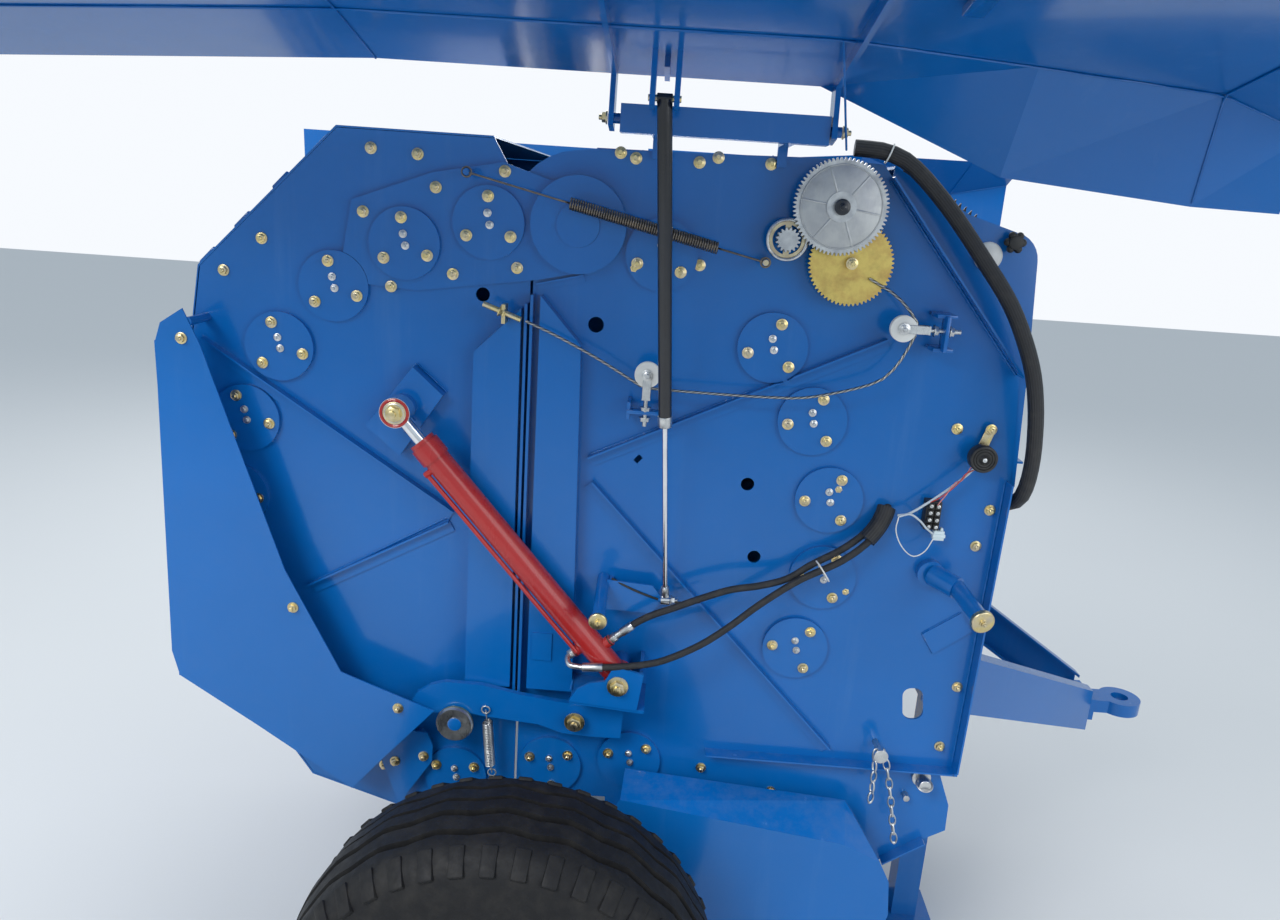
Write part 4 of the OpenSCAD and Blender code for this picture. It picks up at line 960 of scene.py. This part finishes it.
def makeTerminals():
    x, z = terminals["at"]
    off = terminals["off"]
    blocks, screws = [block(place(x, off["foot"], z), terminals["foot"], 0.002)], []
    for i in range(2):
        for j in range(4):
            cellX, cellZ = x + (i - 0.5) * terminals["pitch"], z + (1.5 - j) * terminals["pitch"]
            blocks.append(block(place(cellX, off["cell"], cellZ), terminals["cell"], 0.0015))
            spot = outward(place(cellX, off["screw"], cellZ), right, 30)
            screws.append(copyOf(smallBolt, spot @ Matrix.Scale(terminals["screw"], 4)))
    assemble(blocks, "terminalBlock", "root", "blackPlastic")
    assemble(screws, "terminalScrews", "root", "silverZinc")
    x, z = plug["at"]
    shells = [block(place(x + dx, off["plug"], z + dz), size, 0.0015) for (dx, dz), size in plug["shells"]]
    assemble(shells, "clearPlug", "root", "clearPlastic")
    line = smoothLine([place(*p) for p in hoseSleeve["points"]], 16)
    sleeve = tube("hoseSleeveEnd", line, hoseSleeve["radius"], 20)
    finish(sleeve, "root", "hoseSleeve", 60)
    otherSide(sleeve, "hoseSleeveEndLeft", "root", "hoseSleeve", 60)


makeTerminals()

# Covers: seams along the creases, ribs and hinge bolts
cover = {"hinge": (140, 885), "lift": 100, "seam": 0.0022, "rib": (0.034, 0.016),
         "nuts": ((139, -1), (586, 1)),
         "seams": [[(-315, 234, -210), (-315, 234, 672), (-315, 227, 902)],
                   [(-1075, 195, 672), (-315, 234, 672), (300, 234, 672), (540, 234, 670), (891, 234, 743),
                    (1257, 234, 827), (1436, 186, 868)],
                   [(1257, 234, -210), (1257, 234, 827), (1275, 62, 930)],
                   [(540, 234, 670), (601, 116, 915)]],
         "ribs": [[(-1060, 188, -190), (-315, 226, -190)], [(-315, 226, -190), (1250, 226, -190)],
                  [(128, 226, 395), (128, 226, -185)], [(700, 226, 500), (700, 226, -185)]]}


def coverPoint(x, off, z, side):
    # A place drawn on the closed cover, lifted on the right side
    hingeOff, hingeZ = cover["hinge"]
    inward, up = hingeOff - off, z - hingeZ
    if side == right:
        a = math.radians(cover["lift"])
        inward, up = inward * math.cos(a) + up * math.sin(a), -inward * math.sin(a) + up * math.cos(a)
    return place(x, hingeOff - inward, up + hingeZ, side)


def makeCovers():
    for side, name in bothSides:
        body = "cover_" + name
        seams = []
        for path in cover["seams"]:
            line = evenly([coverPoint(*p, side) for p in path], 60)
            seams.append(tube("seam", line, cover["seam"], 6))
        assemble(seams, "coverSeams_" + name, body, "bluePaint", 60)
        ribs = []
        for a, b in cover["ribs"]:
            start, end = coverPoint(*a, side), coverPoint(*b, side)
            inward = (coverPoint(a[0], a[1] - 10, a[2], side) - start).normalized()
            heading = (end - start).normalized()
            turn = Matrix((heading, heading.cross(inward), inward)).transposed().to_4x4()
            ribs.append(block((start + end) / 2, ((end - start).length, *cover["rib"]), 0.003, 2, turn))
        assemble(ribs, "coverRibs_" + name, body, "bluePaint")
        heads = []
        for x, flip in cover["nuts"]:
            centre = place(x, cover["hinge"][0], cover["hinge"][1], side)
            heads.append(aimed(centre, centre + flip * forwards))
        assemble(copies(bolt, heads), "hingePinNuts_" + name, body, "yellowZinc")


makeCovers()
print("covers dressed")

# Weld beads along the joins
welds = {
    "root": [((130, 0, 182), (470, 0, 350)), ((130, 0, 98), (560, 0, -345)), ((96, 0, 425), (110, 0, -150)),
             ((110, 0, -150), (116, 0, -388)), ((716, 0, 809), (1036, 0, 427)),
             ((446, 0, -541), (1040, 0, -541)), ((1042, 0, -520), (1053, 0, 185)),
             ((119, 82, -362), (119, 0, -362)), ((923, 0, -190), (1004, 0, -131)),
             ((923, 0, -190), (954, 0, -238)), ((954, 0, -238), (1035, 0, -175))],
    "tailgate": [((-738, 0, 390), (-190, 0, 36)), ((-506, 0, -176), (-190, 0, 8)),
                 ((-128, 0, 398), (-134, 0, -388)), ((-368, 0, 222), (-264, 0, 360)),
                 ((-262, 0, 360), (-195, 0, 300)), ((-32, 0, 500), (-128, 0, 404))]}
beadForm = {"steps": 80, "radius": 0.0026, "wave": 0.0007, "pace": 2.1}


def makeWelds():
    steps = range(beadForm["steps"] + 1)
    sizes = [beadForm["radius"] + beadForm["wave"] * math.sin(i * beadForm["pace"]) for i in steps]
    for body, runs in welds.items():
        beads = []
        for a, b in runs:
            line = [place(*a).lerp(place(*b), i / beadForm["steps"]) for i in steps]
            beads.append(tube("bead", line, sizes, 6))
        onBothSides(beads, body + "Welds", body, "bluePaint", 60)


makeWelds()

# Round ends of the lifting slot, and the folded corner of the flanges
slotEnds = {"corners": [(898, -335), (946, -331), (957, -412), (909, -417)], "radius": 21, "steps": 8}
flangeCorner = [(1037, -539.5), (1048.5, -539.5), (1048.5, -527), (1043.5, -527), (1043.5, -534.5),
                (1037, -534.5)]


def makeSlotEnds():
    corners = [Vector(c) for c in slotEnds["corners"]]
    radius, steps = slotEnds["radius"], slotEnds["steps"]
    for side, name in bothSides:
        made = [plateOf(flangeCorner, 0, 34, side)]
        for i, corner in enumerate(corners):
            u = (corners[i - 1] - corner).normalized()
            v = (corners[(i + 1) % 4] - corner).normalized()
            middle = corner + (u + v) * radius
            outline = [corner - u - v, corner + u * radius - v]
            for k in range(steps + 1):
                a = math.pi / 2 * k / steps
                outline.append(middle - (v * math.cos(a) + u * math.sin(a)) * radius)
            outline.append(corner + v * radius - u)
            made.append(plateOf([tuple(p) for p in outline], -5.9, 5.8, side, 0))
        assemble(made, "slotEnds_" + name, "root", "bluePaint")


makeSlotEnds()

# Cylinders: seals and fittings at the ports, elbows, ferrules and the eye's rings
cylinder = {"base": (228, -317), "eye": (-283, 269), "off": 85, "ports": ((110, -1), (84, 1)),
            "low": [(119, 85, -265), (110, 96, -272), (117, 114, -281), (146, 122, -281)],
            "lowFerrule": (192, 124, -276),
            "high": [(209, 85, -222), (218, 85, -214), (228, 85, -206)],
            "highFerrule": (252, 85, -186)}


def alongCylinder(distance, sideways, side):
    baseX, baseZ = cylinder["base"]
    eyeX, eyeZ = cylinder["eye"]
    span = math.hypot(eyeX - baseX, eyeZ - baseZ)
    ux, uz = (eyeX - baseX) / span, (eyeZ - baseZ) / span
    return place(baseX + ux * distance + uz * sideways, cylinder["off"],
                 baseZ + uz * distance - ux * sideways, side)


def makeCylinders():
    x, z = cylinder["eye"]
    for side, name in bothSides:
        steel, black = [], []
        for distance, flip in cylinder["ports"]:
            foot, start, end = (alongCylinder(distance, flip * out, side) for out in (38, 42, 58))
            steel.append(rod(start, end, 0.0115, 6, 0.001))
            black.append(rod(foot, start, 0.0135, 24, 0.001))
        for key, count, radius in (("low", 18, 0.0065), ("high", 12, 0.0085)):
            elbow = [place(*p, side) for p in cylinder[key]]
            steel.append(tube("elbow", smoothLine(elbow, count), radius, 12))
            steel.append(rodAt(cylinder[key][-1], cylinder[key + "Ferrule"], 0.0102, 24, 0.001, side))
        assemble(steel, "hoseFittings_" + name, "barrel_" + name, "silverZinc")
        assemble(black, "portSeals_" + name, "barrel_" + name, "blackPlastic")
        race = put(ringOf(0.020, 0.003), outward(place(x, 105, z, side), side))
        assemble([race], "eyeRace_" + name, "rod_" + name, "silverZinc")
        rim = put(ringOf(0.0285, 0.0042), outward(place(x, 103.5, z, side), side))
        assemble([rim], "eyeRim_" + name, "rod_" + name, "redPaint")


makeCylinders()
print("cylinders dressed")

# Pins and knobs as start, end, radius, sides and edge; chains as points
pins = [((852, 0, -480), (852, 68, -480), 0.007, 20, 0.001),
        ((852, 66, -480), (852, 70, -480), 0.017, 28, 0.001),
        ((974, 0, -567), (974, 44, -567), 0.0150, 28, 0.002),
        ((974, 0, -567), (974, 8, -567), 0.0230, 32, 0.001),
        ((941, 0, -618), (941, 22, -618), 0.008, 20, 0.001)]
knobs = [((981, 191, -63), (983, 204, -65), 0.0255, 32, 0.003),
         ((179, 191, -131), (179, 200, -132), 0.020, 32, 0.003)]
chains = {"pitch": 0.0225, "runs": [[(842, 55, -484), (844, 60, -540), (844, 60, -624)],
                                    [(864, 55, -482), (884, 60, -560), (918, 60, -726)]]}
clip = {"at": (974, 34, -567), "lean": 25}


def makeChains():
    link = ringOf(0.0108, 0.0027, 20)
    link.scale = (0.68, 1.32, 1)
    applied(link)
    for side, name in bothSides:
        made = [rodAt(*pin, side) for pin in pins]
        for run in chains["runs"]:
            line = smoothLine([place(*p, side) for p in run], 200)
            spots = evenly(line, int(lineLength(line) / chains["pitch"]))
            for i, (start, end) in enumerate(zip(spots, spots[1:])):
                turn = aimed(start, end) @ turnBy(90, "X")
                made.append(copyOf(link, turn @ turnBy(90 * (i % 2), "Y")))
        turn = turnBy(clip["lean"], "X")
        made.append(put(ringOf(0.019, 0.0022, 32), Matrix.Translation(place(*clip["at"], side)) @ turn))
        heads = []
        for knob in knobs:
            start, end = (place(*p, side) for p in knob[:2])
            heads += [rodAt(*knob, side), copyOf(smallBolt, aimed(end, end + (end - start)))]
        assemble(heads, "postKnobs_" + name, "root", "yellowZinc", 50)
        whole = assemble(made, "pinsAndChains_" + name, "root", "silverZinc", 50)
        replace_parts(whole, "pins_and_chains")
    drop(link)


makeChains()

# Gas struts: end caps, the prongs' pin and the foot
strut = {"low": (321, 40, -139), "top": (248, 153, 781), "tube": 0.640}


def makeStruts():
    for side, name in bothSides:
        base, top = place(*strut["low"], side), coverPoint(*strut["top"], side)
        span = (top - base).normalized()
        near = top - span * strut["tube"]
        cap = rod(near - span * 0.002, near + span * 0.022, 0.0150, 28, 0.0015)
        assemble([cap], "strutCap_" + name, "strut_tube_" + name, "silverZinc")
        pin = rod(top - forwards * 0.030, top + forwards * 0.030, 0.006, 18, 0.001)
        assemble([pin], "strutPin_" + name, "cover_" + name, "yellowZinc")
        nut = Matrix.Translation(base + forwards * 0.012) @ turnBy(90, "Y")
        ends = [rod(base + span * 0.012, base + span * 0.036, 0.0095, 20, 0.001), copyOf(bolt, nut)]
        assemble(ends, "strutFoot_" + name, "strut_rod_" + name, "silverZinc")


makeStruts()

# Ribs across the tailgate's skin
skinRibs = {"spots": [(-471, 807), (-557, 728), (-643, 641), (-723, 561)], "slope": 45.4,
            "size": (0.05, 1.3, 0.012)}


def makeSkinRibs():
    turn = turnBy(-skinRibs["slope"], "Y")
    ribs = [block(central(x, 0, z), skinRibs["size"], 0.004, 2, turn) for x, z in skinRibs["spots"]]
    assemble(ribs, "skinRibs", "tailgate", "bluePaint")


makeSkinRibs()

# Net box: star knob, bearing cap, comb strip
netBox = {"knob": (985, 4, 703), "lobes": 6, "lobe": 0.0085, "lobeCircle": 15, "cap": (939, -4, 671),
          "comb": [(742, 838), (905, 745)], "teeth": 14, "tooth": [(-5, -6), (5, -11), (6, 7)],
          "combOff": -14, "combThick": 5}


def makeNetBox():
    lobes = []
    for k in range(netBox["lobes"]):
        dx, dz = onRing(k * 60, netBox["lobeCircle"])
        lobes.append(ball(netBox["lobe"], 0.8, 16, 10, (dx / 1000, dz / 1000, 0.008)))
    core = rounded(disc(0.015, 0.020, -0.002, 24), 0.003)
    knob = put(joined(lobes + [core], "starKnob"), outward(place(*netBox["knob"])))
    finish(knob, "root", "blackPlastic")
    cap = put(ball(0.030, 0.55, 32, 16), outward(place(*netBox["cap"])))
    assemble([cap], "bearingCap", "root", "whitePlastic", 60)
    (x0, z0), (x1, z1) = netBox["comb"]
    comb = (netBox["combOff"], netBox["combThick"])
    teeth = [plateOf([(x0, z0 - 16), (x1, z1 - 16), (x1, z1 - 4), (x0, z0 - 4)], *comb)]
    for i in range(netBox["teeth"]):
        t = (i + 0.5) / netBox["teeth"]
        x, z = x0 + (x1 - x0) * t, z0 + (z1 - z0) * t
        teeth.append(plateOf([(x + dx, z + dz) for dx, dz in netBox["tooth"]], *comb))
    assemble(teeth, "combStrip", "root", "blackPlastic")


makeNetBox()

# Pickup: coils of the spring tines
pickup = {"reel": (640, -870), "circle": 125, "bars": 4, "step": 66, "count": 18, "coils": (-0.008, 0, 0.008)}


def makeTines():
    wire = ringOf(0.020, 0.004, 24)
    coilModel = joined(copies(wire, [Matrix.Translation((0, 0, dz)) for dz in pickup["coils"]]), "coilModel")
    x, z = pickup["reel"]
    spots = []
    for k in range(pickup["bars"]):
        dx, dz = onRing(k * 90, pickup["circle"])
        for i in range(pickup["count"]):
            y = (i + 0.5 - pickup["count"] / 2) * pickup["step"]
            spots.append(outward(central(x + dx, y, z + dz)))
    assemble(copies(coilModel, spots), "tineCoils", "reel", "springSteel", 60)
    drop(wire, coilModel)


makeTines()

# Hose ties: place, the hose's way there, radius
hoseTies = [((700, 38, 859), (725, 40, 850), 0.0195), ((664, 66, -30), (690, 62, -12), 0.026)]


def makeTies():
    ties = []
    for at, way, radius in hoseTies:
        ties.append(put(ringOf(radius, 0.0018, 32, 6), aimed(place(*at), place(*way))))
    assemble(ties, "hoseTies", "root", "whitePlastic")


makeTies()

# Gearbox: bolts of its covers, filler plug and the splines of its drive stub
gearbox = {"face": 1090, "hub": 1120, "z": -150, "bolts": 84, "hubBolts": 47, "filler": (1000, 40, -40),
           "spline": [1122, 1149], "stub": 17.5, "tooth": (0.0035, 0.0080)}


def makeGearbox():
    z = gearbox["z"]
    rim = [(-1, -1), (-1, 0), (-1, 1), (0, 1), (1, 1), (1, 0), (1, -1), (0, -1)]
    spots = [central(gearbox["face"], dy * gearbox["bolts"], z + dz * gearbox["bolts"]) for dy, dz in rim]
    heads = copies(bolt, [aimed(at, at + forwards) for at in spots])
    for k in range(6):
        dy, dz = onRing(k * 60 + 30, gearbox["hubBolts"])
        at = central(gearbox["hub"], dy, z + dz)
        heads.append(copyOf(smallBolt, aimed(at, at + forwards)))
    heads.append(copyOf(bolt, Matrix.Translation(central(*gearbox["filler"]))))
    assemble(heads, "gearboxBolts", "root", "yellowZinc")
    splines = []
    for k in range(6):
        dy, dz = onRing(k * 60, gearbox["stub"])
        start, end = (central(x, dy, z + dz) for x in gearbox["spline"])
        turn = turnBy(k * 60, "X")
        size = ((end - start).length, *gearbox["tooth"])
        splines.append(block((start + end) / 2, size, 0.0008, 1, turn))
    assemble(splines, "stubSplines", "root", "wornSteel")


makeGearbox()

# Pin of the parking stand, on its right
standPin = {"start": (1112, -286.5, -300), "end": (1112, -330, -300), "radius": 0.008, "collar": 0.013,
            "ring": 0.020, "drop": 0.018}


def makeStandPin():
    start, end = central(*standPin["start"]), central(*standPin["end"])
    outer = end + Vector((0, -0.006, 0))
    parts = [rod(start, end, standPin["radius"], 24, 0.0015), rod(end, outer, standPin["collar"], 28, 0.0015)]
    hanging = Matrix.Translation(outer - standPin["drop"] * wayUp) @ turnBy(90, "Y")
    parts.append(put(ringOf(standPin["ring"], 0.0025, 36), hanging))
    assemble(parts, "standPin", "root", "silverZinc")


makeStandPin()
drop(bolt, bigBolt, smallBolt)
print("fittings made")

# Floor, backdrop and lights
studio = {"floorAt": (-1.6, 2.0, -0.619), "floorSize": (40, 34), "floor": (0.66, 0.66, 0.655),
          "patches": (0.68, 0.68, 0.66), "floorRoughness": 0.85,
          "sky": (0.76, 0.88, 1.0), "skyStrength": 0.75, "backdrop": (0.93, 0.96, 1.0)}
lamps = {  # place, aim, size, power
    "keyLight": ((-4.2, -4.6, 4.4), (-1.7, -0.4, 0.5), 2.6, 260),
    "fillLight": ((1.8, -4.0, 2.2), (-1.4, -0.5, 0.4), 3.0, 54),
    "backLight": ((-2.0, 5.0, 4.0), (-1.7, 0, 0.5), 3.0, 160)}


def makeFloor():
    material, tree, shader, vector = startMaterial("floorPale", Roughness=studio["floorRoughness"])
    patches = ranged(tree, noise(tree, vector, 3, 4), 0.3, 0.7, 0.0, 0.12)
    feed(tree, shader["Base Color"], mixed(tree, patches, studio["floor"], studio["patches"]))
    size = Matrix.Diagonal((*studio["floorSize"], 1, 1))
    floor = put(primitive("plane", size=1), Matrix.Translation(studio["floorAt"]) @ size)
    floor.name = "floor"
    floor.data.materials.append(material)


def makeWorld():
    world = bpy.data.worlds.new("studio")
    bpy.context.scene.world = world
    world.use_nodes = True
    tree = world.node_tree
    tree.nodes.clear()
    plain = node(tree, "Background", Color=studio["sky"], Strength=studio["skyStrength"])
    seen = node(tree, "Background", Color=studio["backdrop"], Strength=1.0)
    choice = node(tree, "MixShader", Fac=node(tree, "LightPath").outputs["Is Camera Ray"])
    feed(tree, choice.inputs[1], plain.outputs[0])
    feed(tree, choice.inputs[2], seen.outputs[0])
    node(tree, "OutputWorld", Surface=choice.outputs[0])


def makeLamps():
    for name, (at, aim, size, power) in lamps.items():
        data = bpy.data.lights.new(name, "AREA")
        data.size = size
        data.energy = power
        added(name, data).matrix_world = aimed(Vector(at), 2 * Vector(at) - Vector(aim))


makeFloor()
makeWorld()
makeLamps()
bpy.context.scene.view_settings.view_transform = "Standard"
print("studio made")
